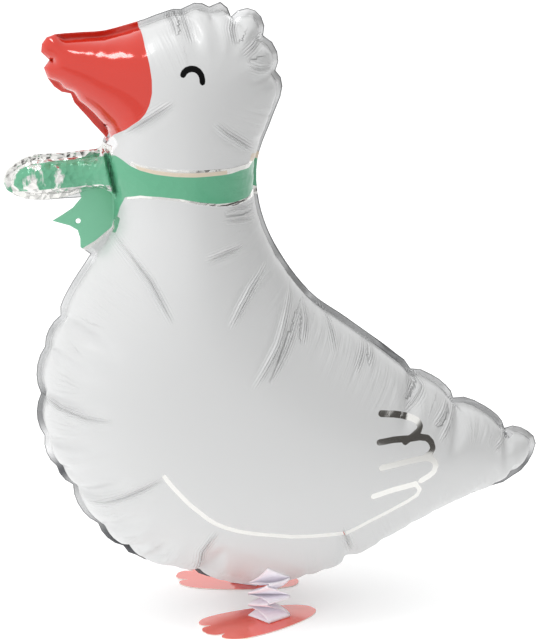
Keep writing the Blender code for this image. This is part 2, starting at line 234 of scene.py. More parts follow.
def net(inner):
    """Points and triangles that fill the cut. The points of its edge and of the hole come first."""
    rims = [cut_edge, punch_edge]
    sides, first = [], 0
    for rim in rims:
        sides += [(first + i, first + (i + 1) % len(rim)) for i in range(len(rim))]
        first += len(rim)
    points = [Vector(p) for p in np.concatenate([*rims, inner])]
    found, _, triangles, *_ = delaunay_2d_cdt(points, sides, [], 1, 1e-6)
    found, triangles = np.array([tuple(p) for p in found]), np.array([tuple(t) for t in triangles])
    middle = found[triangles].mean(axis=1)
    return found, triangles[np.linalg.norm(middle - punch_centre, axis=1) > PUNCH_RADIUS * 0.98]


weld_points = [a + (b - a) * t for a, b in zip(tail_weld, tail_weld[1:]) for t in (0, 1 / 3, 2 / 3)]
flange_width = FLANGE_WIDTH / narrowed(cut_edge)[:, None]
weld_ring = np.concatenate([cut_edge - n * flange_width for n in outward(cut_edge)])
firm = [*clear_of_edge(weld_points, FLANGE_WIDTH), *clear_of_edge(weld_ring, FLANGE_WIDTH * 0.93)]
firm = thin_out(firm, NET_NEAREST)
net_low, net_high = cut_edge.min(0), cut_edge.max(0)
net_row = NET_STEP * math.sqrt(3) / 2
field = [
    (net_low[0] + NET_STEP * (i + 0.5 * (j % 2)), net_low[1] + net_row * j)
    for j in range(int((net_high[1] - net_low[1]) / net_row) + 1)
    for i in range(int((net_high[0] - net_low[0]) / NET_STEP) + 1)
]
inner_points = np.array(thin_out([*firm, *clear_of_edge(field, FLANGE_WIDTH * 1.02)], NET_NEAREST))
fixed_count = len(cut_edge) + len(punch_edge) + len(firm)
net_points, net_triangles = net(inner_points)
for _ in range(NET_ROUNDS):
    total, count = np.zeros_like(net_points), np.zeros(len(net_points))
    for a, b in ((0, 1), (1, 2), (2, 0)):
        for here, there in ((a, b), (b, a)):
            np.add.at(total, net_triangles[:, here], net_points[net_triangles[:, there]])
            np.add.at(count, net_triangles[:, here], 1)
    net_points[fixed_count:] = (total / np.maximum(count, 1)[:, None])[fixed_count:]
    net_points, net_triangles = net(net_points[len(cut_edge) + len(punch_edge):])
welded = seam_depth_of(net_points) < FLANGE_WIDTH * 1.04
welded |= within(net_points, flat_tail) | (depth_from(net_points, tail_weld, closed=False) < 0.001)

# How full each panel stands. The square root of an evenly loaded membrane's sag gives a round section where
# the balloon is narrow, and a foil balloon is fuller than that beside its weld.
FULLNESS = 0.85
WELD_FULLNESS = 0.18
sides_of = net_points[net_triangles]
membrane, load = np.zeros((len(net_points),) * 2), np.zeros(len(net_points))
for t, p in zip(net_triangles, sides_of):
    sides = np.roll(p, -2, axis=0) - np.roll(p, -1, axis=0)
    area = abs(np.linalg.det(sides[:2])) / 2
    membrane[np.ix_(t, t)] += sides @ sides.T / (4 * area)
    load[t] += area / 3
loose = ~welded
net_sag = np.zeros(len(net_points))
net_sag[loose] = np.linalg.solve(membrane[np.ix_(loose, loose)], load[loose])
fullest = math.sqrt(2 * net_sag.max())


def settle(plan, triangles, sag, loose, rounds):
    """Settles the membrane's sag on a finer net, from values read off a coarser one."""
    n, starts, ends, weights = len(plan), [], [], []
    for k in range(3):
        i, a, b = (triangles[:, (k + j) % 3] for j in range(3))
        u, v = plan[a] - plan[i], plan[b] - plan[i]
        double_area = np.abs(u[:, 0] * v[:, 1] - u[:, 1] * v[:, 0])
        starts.append(a)
        ends.append(b)
        weights.append((u * v).sum(1) / np.maximum(double_area, 1e-12) / 2)
    starts, ends, weights = (np.concatenate(part) for part in (starts, ends, weights))
    load = np.bincount(triangles.reshape(-1), np.repeat(double_area / 6, 3), n)
    whole = np.bincount(starts, weights, n) + np.bincount(ends, weights, n)
    for _ in range(rounds):
        flow = weights * (sag[ends] - sag[starts])
        push = np.bincount(starts, flow, n) - np.bincount(ends, flow, n) + load
        sag = sag + np.where(loose, 0.8 * push / np.maximum(whole, 1e-9), 0)
    return sag


def swell(sag):
    """How far a panel stands off the weld's plane, from the membrane's sag."""
    lens = np.sqrt(2 * np.maximum(sag, 0))
    return FULLNESS * lens * (1 + WELD_FULLNESS * (1 - (lens / fullest) ** 3))


# The two panels, welded along one flange. The net is split where the swelling pulls it long, until its
# triangles are even on the full shape, and then copied to the goose's right side.
FOIL_STEP = 0.0109
SPLIT_LENGTH = 1.45
SPLIT_ROUNDS = 5
WELD_MARK = 0.99
SETTLE_ROUNDS = 300
foil = bmesh.new()
sag_of = foil.verts.layers.float.new("sag")
weld_of = foil.verts.layers.float.new("welded")
net_verts = [foil.verts.new((p[0], 0, p[1])) for p in net_points]
for v, s, w in zip(net_verts, net_sag, welded):
    v[sag_of] = s
    v[weld_of] = float(w)
for t in net_triangles:
    foil.faces.new([net_verts[i] for i in t])


def plan_of(mesh):
    """A bmesh's points on the weld's plane."""
    return np.array([(v.co.x, v.co.z) for v in mesh.verts])


def corners_of(mesh):
    return np.array([[v.index for v in f.verts] for f in mesh.faces])


def parts_of(found, kind):
    """Those parts of a bmesh that are of one kind."""
    return [part for part in found if isinstance(part, kind)]


def lift_panel():
    for v in foil.verts:
        v.co.y = -float(swell(v[sag_of]))


for _ in range(SPLIT_ROUNDS):
    lift_panel()
    long_sides = [e for e in foil.edges if e.calc_length() > FOIL_STEP * SPLIT_LENGTH]
    if not long_sides:
        break
    bmesh.ops.subdivide_edges(foil, edges=long_sides, cuts=1)
    bmesh.ops.triangulate(foil, faces=[f for f in foil.faces if len(f.verts) > 3])
    lift_panel()
    for _ in range(2):
        inner_edges = [e for e in foil.edges if len(e.link_faces) == 2]
        turning = [e for e in inner_edges if min(v[weld_of] for v in e.verts) < WELD_MARK]
        bmesh.ops.beautify_fill(foil, faces=foil.faces, edges=turning, method="ANGLE")
        moved = []
        for v in foil.verts:
            if v[weld_of] < WELD_MARK and not v.is_boundary:
                sides = [(e.other_vert(v), e.calc_length()) for e in v.link_edges]
                weight = sum(w for _, w in sides) * 2
                middle = sum((o.co * w for o, w in sides), Vector()) / weight + v.co / 2
                moved.append((v, middle, sum(o[sag_of] * w for o, w in sides) / weight + v[sag_of] / 2))
        for v, middle, sag in moved:
            v.co = middle
            v[sag_of] = sag
        lift_panel()
foil.verts.index_update()
panel_plan, panel_triangles = plan_of(foil), corners_of(foil)
panel_loose = np.array([v[weld_of] < WELD_MARK for v in foil.verts])
panel_sag = np.array([v[sag_of] for v in foil.verts]) * panel_loose
for v, sag in zip(foil.verts, settle(panel_plan, panel_triangles, panel_sag, panel_loose, SETTLE_ROUNDS)):
    v[sag_of] = sag
lift_panel()
foil.normal_update()
side_of = foil.verts.layers.float.new("side")
blown = [f for f in foil.faces if min(v[weld_of] for v in f.verts) < WELD_MARK]
for f in foil.faces:
    if f.normal.y > 0:
        f.normal_flip()
for v in foil.verts:
    v[side_of] = -1.0 if v[weld_of] < WELD_MARK else 0.0
other_panel = bmesh.ops.duplicate(foil, geom=blown)["geom"]
for v in parts_of(other_panel, bmesh.types.BMVert):
    v.co.y = -v.co.y
    v[side_of] = -v[side_of]
bmesh.ops.reverse_faces(foil, faces=parts_of(other_panel, bmesh.types.BMFace))
bmesh.ops.remove_doubles(foil, verts=[v for v in foil.verts if v[weld_of] > WELD_MARK], dist=0.00001)

# Blowing it up. Flat foil can't stretch, so round the welded edge it has more length than the full shape
# needs, and air pressure gathers that length into pleats and creases that run in from the weld. The foil is
# relaxed on three nets, each twice as fine as the one before.
SLACK = 0.055
SLACK_REACH = 0.030
SLACK_RISE = 0.005
SLACK_EVERYWHERE = 0.003
PLEAT_SLACK = 0.22
PLEAT_LENGTH = 0.06
PLEAT_DEPTH = 0.35
PLEAT_DRAW = 0.24
PLEAT_SPREAD = 0.006
PLEAT_START = 0.75
PLEAT_FADE = 1.5
SEAM_NEAREST = 0.006
# the slack's share grows with how sharply the cut turns outwards, and falls where it turns too sharply
TURN_FROM, TURN_RANGE, TURN_LIMIT = 2, 6, 7
BEAK_REACH = (-0.17, 0.49)
BEAK_BLEND = (0.03, 0.02)
BEAK_SLACK = 0.15
AT_ONCE = 4000
ROUNDS = ((160, 110, 36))
PRESSURE = (4e-6, 2e-6, 1e-6)
MOMENTUM = 0.9
TAUT, SQUEEZED, BENT = 1.0, 0.6, 0.2
SIDE_PULL, BEND_PULL = 0.65, 0.5
FINE_SETTLE_ROUNDS = 40
FLANGE_HOLD, WELD_HOLD = 0.30, 0.12
HOLD_SHARES = (1, 0.5, 1)
PULLS_PER_ROUND = 3
WELD_REACH = 0.0016
FIRM_REACH = 0.005
FLANGE_CURL, CURLS_PER_METRE = 0.0026, 22
CALM_DEPTH, CALM_DRAW = 0.026, 0.05
EVEN_STEPS = (0.6, -0.62)
UNEVENNESS, UNEVEN_SCALES = 0.0006, (90, 220)
KNOT_FOLD = ((-28.4, 79.5), (-27.9, 76.5), (-27.3, 73.5), (-26.7, 70.8))
KNOT_DEPTH = 0.60
KNOT_SPREAD = 0.0022
CREASES = (
    # how deep and how wide each crease is, and where it runs in the photograph's pixels
    (0.0022, 0.0030, (124, 133), (142, 123), (158, 113), (172, 104)),
    (0.0018, 0.0026, (214, 124), (226, 134), (238, 141), (252, 149)),
    (0.0016, 0.0028, (112, 228), (128, 252), (150, 282), (173, 324)),
    (0.0024, 0.0030, (284, 268), (289, 286), (288, 310), (279, 345), (254, 388)),
    (0.0020, 0.0028, (266, 262), (252, 288), (242, 306), (231, 328)),
    (0.0014, 0.0022, (300, 300), (296, 322), (286, 352), (268, 384)),
    (0.0014, 0.0022, (318, 300), (328, 322), (336, 352)),
    (0.0012, 0.0020, (300, 296), (306, 318), (304, 344)),
    (0.0013, 0.0020, (358, 332), (362, 348), (356, 372)),
    (0.0012, 0.0018, (366, 336), (371, 350), (368, 366)),
    (0.0030, 0.0034, (410, 366), (420, 385), (414, 402), (406, 411)),
    (0.0026, 0.0030, (406, 366), (412, 382), (404, 400)),
    (0.0030, 0.0034, (453, 396), (451, 418), (440, 442)),
    (0.0022, 0.0026, (446, 398), (443, 412), (434, 426)),
    (0.0026, 0.0030, (506, 426), (503, 438), (494, 450)),
    (0.0024, 0.0032, (36, 391), (62, 409), (86, 418), (114, 422)),
    (0.0024, 0.0030, (88, 499), (108, 501), (136, 492), (164, 478)),
    (0.0022, 0.0030, (190, 567), (202, 550), (217, 530)),
    (0.0018, 0.0024, (342, 526), (346, 538), (352, 552)),
    (0.0014, 0.0024, (206, 261), (224, 254), (244, 245)),
    (0.0012, 0.0020, (224, 212), (238, 208), (252, 204)),
    (0.0010, 0.0018, (222, 222), (238, 220), (254, 216)),
    (0.0022, 0.0026, (231, 16), (230, 32), (233, 48)),
    (0.0012, 0.0024, (180, 6), (186, 24), (192, 46)),
    (0.0009, 0.0020, (168, 10), (173, 26), (176, 38)),
    (0.0024, 0.0028, (262, 35), (254, 46), (242, 58)),
    (0.0018, 0.0024, (270, 68), (258, 70), (246, 66)),
)
CREASE_FORCE = 1.5
# in the crease's own widths: how far it is felt, and the ridge beside it with its height, place and width
CREASE_WIDTHS, RIDGE_HEIGHT, RIDGE_AWAY, RIDGE_WIDTH = 6, 0.9, 2.2, 1.5
CREASE_ENDS = 0.6
CREASE_ROOM = 0.012
CREASE_SHIFT = (0.014, -0.009)

edge_next = np.roll(cut_edge, -1, axis=0)
edge_middle = (cut_edge + edge_next) / 2
edge_angle = np.arctan2(*(edge_next - cut_edge).T[::-1])
edge_length = np.linalg.norm(edge_next - cut_edge, axis=1)
edge_along = np.concatenate([[0], np.cumsum(edge_length)])
edge_normals = outward(cut_edge)[0]


def edge_turn(window=0.05):
    """How sharply the whole outline turns outwards at each point of the cut, per metre."""
    def ahead(distance):
        at = np.searchsorted(edge_along, (edge_along[:-1] + distance) % edge_along[-1], side="right") - 1
        return cut_edge[np.minimum(at, len(cut_edge) - 1)]

    u, v = cut_edge - ahead(-window), ahead(window) - cut_edge
    turn = -np.arctan2(u[:, 0] * v[:, 1] - u[:, 1] * v[:, 0], (u * v).sum(1)) / window
    spread = np.exp(-(np.arange(-6, 7) / 3.0) ** 2)
    return np.convolve(np.concatenate([turn[-6:], turn, turn[:6]]), spread / spread.sum(), "valid")


def along_line(points, line):
    """How far points are from an open line, less than zero on its left, and the share of it they are past."""
    nearest, side, past = np.full(len(points), np.inf), np.zeros(len(points)), np.zeros(len(points))
    lengths = np.linalg.norm(np.diff(line, axis=0), axis=1)
    walked = np.concatenate([[0], np.cumsum(lengths)]) / lengths.sum()
    for k, (a, b) in enumerate(zip(line, line[1:])):
        share = np.clip((points - a) @ (b - a) / ((b - a) @ (b - a)), 0, 1)
        off = points - a - share[:, None] * (b - a)
        apart = np.linalg.norm(off, axis=1)
        nearer = apart < nearest
        nearest[nearer] = apart[nearer]
        side[nearer] = (np.sign((b - a)[0] * off[:, 1] - (b - a)[1] * off[:, 0]) * -apart)[nearer]
        past[nearer] = (walked[k] + share * (walked[k + 1] - walked[k]))[nearer]
    return side, past


def near_pleats(plan):
    """One on a pleat's line at the weld, and less further in or beside it."""
    near = np.zeros(len(plan))
    for start, kind in zip(cut_starts, cut_kinds):
        on_beak = cut_edge[start][0] < BEAK_REACH[0] and cut_edge[start][1] > BEAK_REACH[1]
        if kind == PLEAT and not on_beak:
            first = cut_edge[start] - edge_normals[start] * FLANGE_WIDTH * PLEAT_START
            last = cut_edge[start] - edge_normals[start] * PLEAT_LENGTH
            apart, share = along_line(plan, np.array([first, last]))
            aside = apart / PLEAT_SPREAD / (1 + share)
            near = np.maximum(near, (1 - share) ** PLEAT_FADE * np.exp(-aside ** 2))
    return near


def sides_near(plan):
    """The points so many at a time, with the square of how far each is from every side of the cut."""
    for k in range(0, len(plan), AT_ONCE):
        part = slice(k, k + AT_ONCE)
        yield part, ((plan[part, None, :] - edge_middle) ** 2).sum(2)


def seam_field(plan, depth, turn):
    """At each point, the direction of the nearby weld, and how much slack the foil has along it."""
    direction, slack = np.zeros((len(plan), 2)), np.zeros(len(plan))
    for part, apart in sides_near(plan):
        reach = 2 * np.maximum(depth[part, None], SEAM_NEAREST) ** 2
        weight = np.exp((apart.min(1)[:, None] - apart) / reach)
        c, s = weight @ np.cos(2 * edge_angle), weight @ np.sin(2 * edge_angle)
        half = np.arctan2(s, c) / 2
        strength = (np.hypot(c, s) / weight.sum(1)) ** 0.5
        direction[part] = np.stack([np.cos(half), np.sin(half)], axis=1) * strength[:, None]
        bend = turn[apart.argmin(1)]
        slack[part] = SLACK * np.clip((bend + TURN_FROM) / TURN_RANGE, 0, 1)
        slack[part] *= np.minimum(1, TURN_LIMIT / np.maximum(bend, 1))
    inside = np.maximum(depth - FLANGE_WIDTH, 0)
    on_beak = np.clip((BEAK_REACH[0] - plan[:, 0]) / BEAK_BLEND[0] + 1, 0, 1)
    on_beak *= np.clip((plan[:, 1] - BEAK_REACH[1]) / BEAK_BLEND[1] + 1, 0, 1)
    slack *= 1 - (1 - BEAK_SLACK) * on_beak
    slack = slack * np.exp(-inside / SLACK_REACH) + SLACK_EVERYWHERE + PLEAT_SLACK * near_pleats(plan)
    return direction, slack * np.minimum(1, inside / SLACK_RISE)


def layers_of(mesh):
    """A bmesh's points, sag, side and weld as arrays."""
    mesh.verts.ensure_lookup_table()
    return (
        np.array([v.co for v in mesh.verts], float), np.array([v[sag_of] for v in mesh.verts]),
        np.array([v[side_of] for v in mesh.verts]), np.array([v[weld_of] > WELD_MARK for v in mesh.verts]),
    )


full_tree = BVHTree.FromBMesh(foil)


def seen_at(shape, pixel):
    """Where a pixel's sight meets a shape, or else the weld's plane, and the face that it meets."""
    across = Vector((pixel[0] - photo_width / 2, photo_height / 2 - pixel[1], -focal_pixels))
    sight = (camera_turn @ across).normalized()
    hit, _, face, _ = shape.ray_cast(camera.location, sight)
    if hit is None:
        hit = camera.location - sight * (camera.location.y / sight.y)
    return hit, face


def on_full_shape(pixel):
    """The point of the panel that a pixel shows, with the foil on its full shape."""
    hit, _ = seen_at(full_tree, pixel)
    return hit.x, hit.z


crease_lines = [(depth, width, np.array([on_full_shape(p) for p in line])) for depth, width, *line in CREASES]
knot_fold = np.array([on_cut(p) for p in KNOT_FOLD])


def creased(plan, side):
    """How far the creases draw the foil in, how far each point is from the nearest one, and its strength."""
    plan = plan + np.where(side > 0, 1, 0)[:, None] * CREASE_SHIFT
    drawn_in, beside, strength = np.zeros(len(plan)), np.ones(len(plan)), np.zeros(len(plan))
    for depth, width, line in crease_lines:
        apart, past = along_line(plan, line)
        near = np.clip(1 - np.abs(apart) / (CREASE_WIDTHS * width), 0, 1)
        near = near * np.sin(np.pi * np.clip(past, 0.001, 0.999)) ** CREASE_ENDS
        ridge = RIDGE_HEIGHT * np.exp(-((apart - RIDGE_AWAY * width) / (RIDGE_WIDTH * width)) ** 2)
        drawn_in += CREASE_FORCE * depth * near * (ridge - np.exp(-np.abs(apart) / width))
        nearer = near > strength
        beside[nearer], strength[nearer] = apart[nearer], near[nearer]
    return drawn_in, beside, strength


def full_shape(plan, sag, side):
    """The full shape that the slack is measured from, with its folds."""
    fold = KNOT_DEPTH * np.exp(-(along_line(plan, knot_fold)[0] / KNOT_SPREAD) ** 2)
    full = swell(sag)
    stand = full * (1 - fold) * (1 - PLEAT_DRAW * near_pleats(plan))
    stand -= creased(plan, side)[0] * np.minimum(1, full / CREASE_ROOM)
    rim = np.clip(1 - seam_depth_of(plan) / FLANGE_WIDTH, 0, 1) * (side == 0)
    curl = np.array([noise.noise(Vector((*(p * CURLS_PER_METRE), 0.5))) for p in plan])
    curl = FLANGE_CURL * np.clip(curl * 3, -1, 1) * rim ** 1.5 * ~within(plan, flat_tail)
    return np.stack([plan[:, 0], np.sign(side) * stand + curl, plan[:, 1]], axis=1)


def all_pairs(triangles, n):
    """The mesh's edges, and for each edge between two triangles the pair of corners opposite it."""
    pairs = np.concatenate([triangles[:, [k, (k + 1) % 3]] for k in range(3)])
    pairs = np.sort(pairs, axis=1)
    corner = np.concatenate([triangles[:, (k + 2) % 3] for k in range(3)])
    key = pairs[:, 0] * n + pairs[:, 1]
    order = np.argsort(key, kind="stable")
    key, corner = key[order], corner[order]
    unique, first, times = np.unique(key, return_index=True, return_counts=True)
    sides = np.stack([unique // n, unique % n], axis=1)
    return sides, np.stack([corner[first[times == 2]], corner[first[times == 2] + 1]], axis=1)


def even_out(values, sides, share, rounds):
    """Evens values out over neighbouring points, by the share of it that each point takes, without
    shrinking them much."""
    values = values.copy()
    count = np.maximum(np.bincount(sides.reshape(-1), minlength=len(values)), 1)
    for k in range(rounds * 2):
        total = np.zeros_like(values)
        np.add.at(total, sides[:, 0], values[sides[:, 1]])
        np.add.at(total, sides[:, 1], values[sides[:, 0]])
        step = EVEN_STEPS[k % 2] * share
        values += step[:, None] * (total / count[:, None] - values)
    return values


def grow(values, at, amounts, n):
    for k in range(3):
        values[:, k] += np.bincount(at, amounts[:, k], n)


def relax(place, smooth, triangles, firmly, direction, slack, hold, rounds, pressure):
    """Pulls the foil to its own lengths under air pressure. Welded points keep near their place, and firm
    points stay."""
    n = len(place)
    sides, bends = all_pairs(triangles, n)

    def own_length(pair):
        step = smooth[pair[:, 1]] - smooth[pair[:, 0]]
        along = (step[:, [0, 2]] * direction[pair].mean(axis=1)).sum(1)
        return np.sqrt((step ** 2).sum(1) + ((1 + slack[pair].mean(axis=1)) ** 2 - 1) * along ** 2)

    pulls = []
    for pairs, pull, squeezed, taut in ((sides, SIDE_PULL, SQUEEZED, TAUT), (bends, BEND_PULL, BENT, BENT)):
        share = 1 / np.maximum(np.bincount(pairs.reshape(-1), minlength=n), 1)[:, None]
        pulls.append((pairs, own_length(pairs), pull, squeezed, taut, share))
    before = place.copy()
    for _ in range(rounds):
        place, before = place + (place - before) * MOMENTUM, place
        q = place[triangles]
        push = np.cross(q[:, 1] - q[:, 0], q[:, 2] - q[:, 0])
        normal = np.zeros_like(place)
        for k in range(3):
            grow(normal, triangles[:, k], push, n)
        normal /= np.maximum(np.linalg.norm(normal, axis=1), 1e-12)[:, None]
        place = place + normal * (pressure * (hold == 0))[:, None]
        for _ in range(PULLS_PER_ROUND):
            after = place
            for pairs, length, pull, squeezed, taut, share in pulls:
                step = place[pairs[:, 1]] - place[pairs[:, 0]]
                now = np.maximum(np.linalg.norm(step, axis=1), 1e-9)
                gap = (length - now) / now * pull
                step *= (gap * np.where(gap > 0, squeezed, taut))[:, None]
                change = np.zeros_like(place)
                grow(change, pairs[:, 1], step, n)
                grow(change, pairs[:, 0], -step, n)
                after = after + change * share
            place = after + (smooth - after) * hold[:, None] * HOLD_SHARES
            place[firmly] = smooth[firmly]
    return place


def blow_up():
    """Relaxes the foil on each net in turn, and leaves the last one in the bmesh."""
    turn = edge_turn()
    place = None
    for level, rounds in enumerate(ROUNDS):
        if level:
            before = foil.verts.layers.float_vector.new("before")
            for v, p in zip(foil.verts, place - smooth):
                v[before] = p
            bmesh.ops.subdivide_edges(foil, edges=foil.edges, cuts=1, use_grid_fill=True)
            foil.verts.ensure_lookup_table()
            place = np.array([v[before] for v in foil.verts])
            foil.verts.layers.float_vector.remove(before)
        points, sag, side, held = layers_of(foil)
        plan = points[:, [0, 2]]
        depth = seam_depth_of(plan)
        triangles = corners_of(foil)
        if level:
            sides = all_pairs(triangles, len(plan))[0]
            sag = settle(plan, triangles, sag * ~held, ~held, FINE_SETTLE_ROUNDS)
            for v, value in zip(foil.verts, sag):
                v[sag_of] = value
        smooth = full_shape(plan, sag, side)
        direction, slack = seam_field(plan, depth, turn)
        flat = held & within(plan, flat_tail)
        slack[flat] = 0
        hold = np.where(held, FLANGE_HOLD, 0.0)
        hold[held & (np.abs(depth - FLANGE_WIDTH) < WELD_REACH)] = WELD_HOLD
        firmly = flat
        for start in cut_starts:
            spot = cut_edge[start] - edge_normals[start] * flange_width[start]
            apart = ((plan - spot) ** 2).sum(1) + np.where(held, 0, 1)
            firmly[apart.argmin()] |= apart.min() < FIRM_REACH ** 2
        if level:
            place = place + smooth
        else:
            place = smooth.copy()
            place[:, 1] *= 1 - PLEAT_DEPTH * near_pleats(plan)
            coarse, fine = UNEVEN_SCALES
            place[:, 1] += UNEVENNESS * np.array([
                noise.noise(Vector(p) * coarse) + 0.6 * noise.noise(Vector(p) * fine + Vector((7, 1, 3)))
                for p in smooth
            ])
        place = relax(place, smooth, triangles, firmly, direction, slack, hold, rounds, PRESSURE[level])
    calm = np.clip((depth - CALM_DEPTH) / CALM_DEPTH, 0, 1) * (1 - near_pleats(plan))
    off = place - smooth
    for _ in range(3):
        off += (even_out(off, sides, calm, 4) - off) * calm[:, None]
        off *= 1 - CALM_DRAW * calm[:, None]
    return smooth + off


foil_place = blow_up()

# The print. Its lines are drawn here in the photograph's pixels, and each is followed back along the camera's
# sight to the foil, so it lies in the foil and bends with its folds. Both panels carry the same print.
EYE_HALF_WIDTH = 0.0028
LINE_HALF_WIDTH = 0.0023
FEATHER_HALF_WIDTH = 0.0031
EYE = ((183, 75), (184.3, 72.3), (187, 70), (191, 68.8), (195.2, 69.3), (198.8, 71.5), (201.3, 75),
       (202.3, 79), (202.5, 82.5))
WING_LINE = ((164.5, 477), (172, 486.5), (182, 497), (190, 505), (199, 512), (207, 518.5), (216, 524),
             (227, 528.3), (239, 531.5), (253, 533.7), (268, 535), (291, 536.7), (312, 536.2), (331, 534.6),
             (348, 532.6), (356, 528.5), (372, 520), (385, 513.5), (397, 507), (408, 501), (417, 495),
             (420, 489.5), (415.6, 484))
FEATHERS = (
    ((373.6, 496.4), (394, 489.6), (415.6, 483.9)),
    ((381.6, 468), (399.7, 463.5), (414, 460), (423.6, 458.4), (430, 458.2), (434.4, 461), (436, 466),
     (434, 471.5), (429, 476), (421.3, 480.5)),
    ((379.3, 442.5), (394, 439.7), (411, 438.5), (420, 437), (427.5, 438), (431.5, 442.5), (433, 448),
     (431, 452.5), (427, 455.6)),
    ((381, 413.6), (394, 414), (403, 415.3), (411, 417.5), (417.9, 421), (420.4, 426), (419, 430.5),
     (414, 435), (405.4, 442)),
)
BEAK_BACK = ((135, 11), (137, 20.5), (140, 28.8), (145, 47.5), (149.5, 65), (151.8, 80), (152, 93.8),
             (149.5, 105), (145.5, 113.8), (140, 120), (132.5, 125), (125, 130), (118.8, 132.5),
             (113.8, 134.5), (104, 137.5))
BEYOND_BEAK = ((-0.35, 0.70), (-0.35, 0.482))
SCARF_TOP = ((112.5, 154), (118, 157), (122.5, 160), (130, 165.8), (140, 170.5), (155, 174.5), (175, 177),
             (195, 177.5), (215, 176), (230, 174), (240, 170.5), (249, 167.5), (253, 160.5), (262, 160.5))
SCARF_FOOT = ((262, 188), (253, 188), (249, 196), (232.5, 202.5), (217.5, 204), (200, 202.5), (180, 199),
              (160, 197), (140, 195.5), (125, 197), (120, 207), (116.5, 224), (110, 228))
MARGIN_TOP = ((130, 161), (140, 165), (155, 168), (175, 170), (195, 170.5), (215, 169.5), (232, 168),
              (241, 165.5), (249, 162.5), (252, 153), (262, 153))
MARGIN_FOOT = ((262, 196), (253, 196), (249, 199.5), (232, 206), (217, 206.5), (200, 205), (180, 201.5),
               (160, 199.5), (140, 198), (126, 199.5), (130, 180))
LOOP_FACE = ((114, 155.5), (100, 156.5), (75, 159.3), (50, 161.5), (30, 164.3), (14, 167.5), (6, 171),
             (-4, 176), (-4, 192), (6, 192.5), (15, 192.5), (32.5, 190.8), (50, 189), (75, 187), (100, 184.5),
             (114, 182.5))
LOOP_WHOLE = ((111.5, 146), (60, 148), (-8, 156), (-8, 207), (60, 198), (111.5, 189.5))
CREAM_MARGIN = ((133, 164), (140, 167), (155, 170.5), (175, 173), (195, 173.2), (215, 172), (228, 170.3),
                (226, 178), (195, 179.5), (165, 178), (140, 172))
NAPE_MARGIN = ((250, 152), (262, 152), (262, 161), (250, 161))
STRIP_HALF_WIDTH = 0.0015
TAIL_STRIP = ((84, 249.5), (97, 241.5), (113, 228.5), (117.5, 218))
BESIDE_TAIL = ((78, 251), (83, 248), (96, 240), (112, 226.5), (116.5, 216), (145, 216), (145, 268), (78, 268))

foil_plan, foil_triangles = plan_of(foil), corners_of(foil)
foil_tree = BVHTree.FromPolygons([Vector(p) for p in foil_place], foil_triangles.tolist())


def on_print(pixel):
    """Where a pixel's sight meets the foil, as a point of the flat panel."""
    hit, face = seen_at(foil_tree, pixel)
    if face is None:
        return np.array((hit.x, hit.z))
    corners = foil_triangles[face]
    was = [Vector(foil_place[i]) for i in corners]
    flat = [Vector((foil_plan[i][0], 0, foil_plan[i][1])) for i in corners]
    return np.array(barycentric_transform(hit, *was, *flat))[[0, 2]]


def inside_depth(points, *outlines):
    """How far points are inside any of the closed outlines. Outside, it is less than zero."""
    deepest = np.full(len(points), -np.inf)
    for outline in outlines:
        depth = depth_from(points, outline)
        deepest = np.maximum(deepest, np.where(within(points, outline), depth, -depth))
    return deepest


def drawn(*lines):
    return np.array([on_print(pixel) for line in lines for pixel in line])


def inked(points, half_width, *lines):
    """How far points are inside any of some lines of the pen."""
    return half_width - np.min([np.abs(along_line(points, drawn(line))[0]) for line in lines], axis=0)


tail_patch = np.concatenate([flat_tail, [flat_tail[0]]])
print_regions = {
    "eye": inked(foil_plan, EYE_HALF_WIDTH, EYE),
    "wing": np.maximum(
        inked(foil_plan, LINE_HALF_WIDTH, WING_LINE), inked(foil_plan, FEATHER_HALF_WIDTH, *FEATHERS)
    ),
    "beak": inside_depth(foil_plan, np.array([BEYOND_BEAK[0], *drawn(BEAK_BACK), BEYOND_BEAK[1]])),
    "green": np.minimum(
        inside_depth(foil_plan, drawn(SCARF_TOP, SCARF_FOOT), drawn(LOOP_FACE), tail_patch),
        -inside_depth(foil_plan, drawn(BESIDE_TAIL)),
    ),
    "bare": np.maximum(
        inside_depth(foil_plan, drawn(MARGIN_TOP, MARGIN_FOOT), drawn(LOOP_WHOLE)),
        inked(foil_plan, STRIP_HALF_WIDTH, TAIL_STRIP),
    ),
    "tail": inside_depth(foil_plan, tail_patch),
    "loop": inside_depth(foil_plan, drawn(LOOP_WHOLE)),
    "cream": inside_depth(foil_plan, drawn(CREAM_MARGIN), drawn(NAPE_MARGIN)),
}

# The foil balloon's finished skin. The flange gets its two layers, closed along the cut, and every point is
# marked with how deep it lies in each printed region, and where it lies beside the seam and the creases.
FOIL_THICKNESS = 0.0003
SEAM_JUMP = 0.02
JUMP_ROUNDS = 6


def along_seam(plan):
    """How far along the cut the point of it lies that is nearest to each point."""
    found = np.zeros(len(plan))
    for part, apart in sides_near(plan):
        side = apart.argmin(1)
        past = ((plan[part] - cut_edge[side]) * (edge_next - cut_edge)[side]).sum(1) / edge_length[side]
        found[part] = edge_along[side] + np.clip(past, 0, edge_length[side])
    return found


def new_piece(name, shape):
    """Makes an object of a bmesh, which is freed."""
    mesh = bpy.data.meshes.new(name)
    shape.to_mesh(mesh)
    shape.free()
    piece = bpy.data.objects.new(name, mesh)
    scene.collection.objects.link(piece)
    return piece


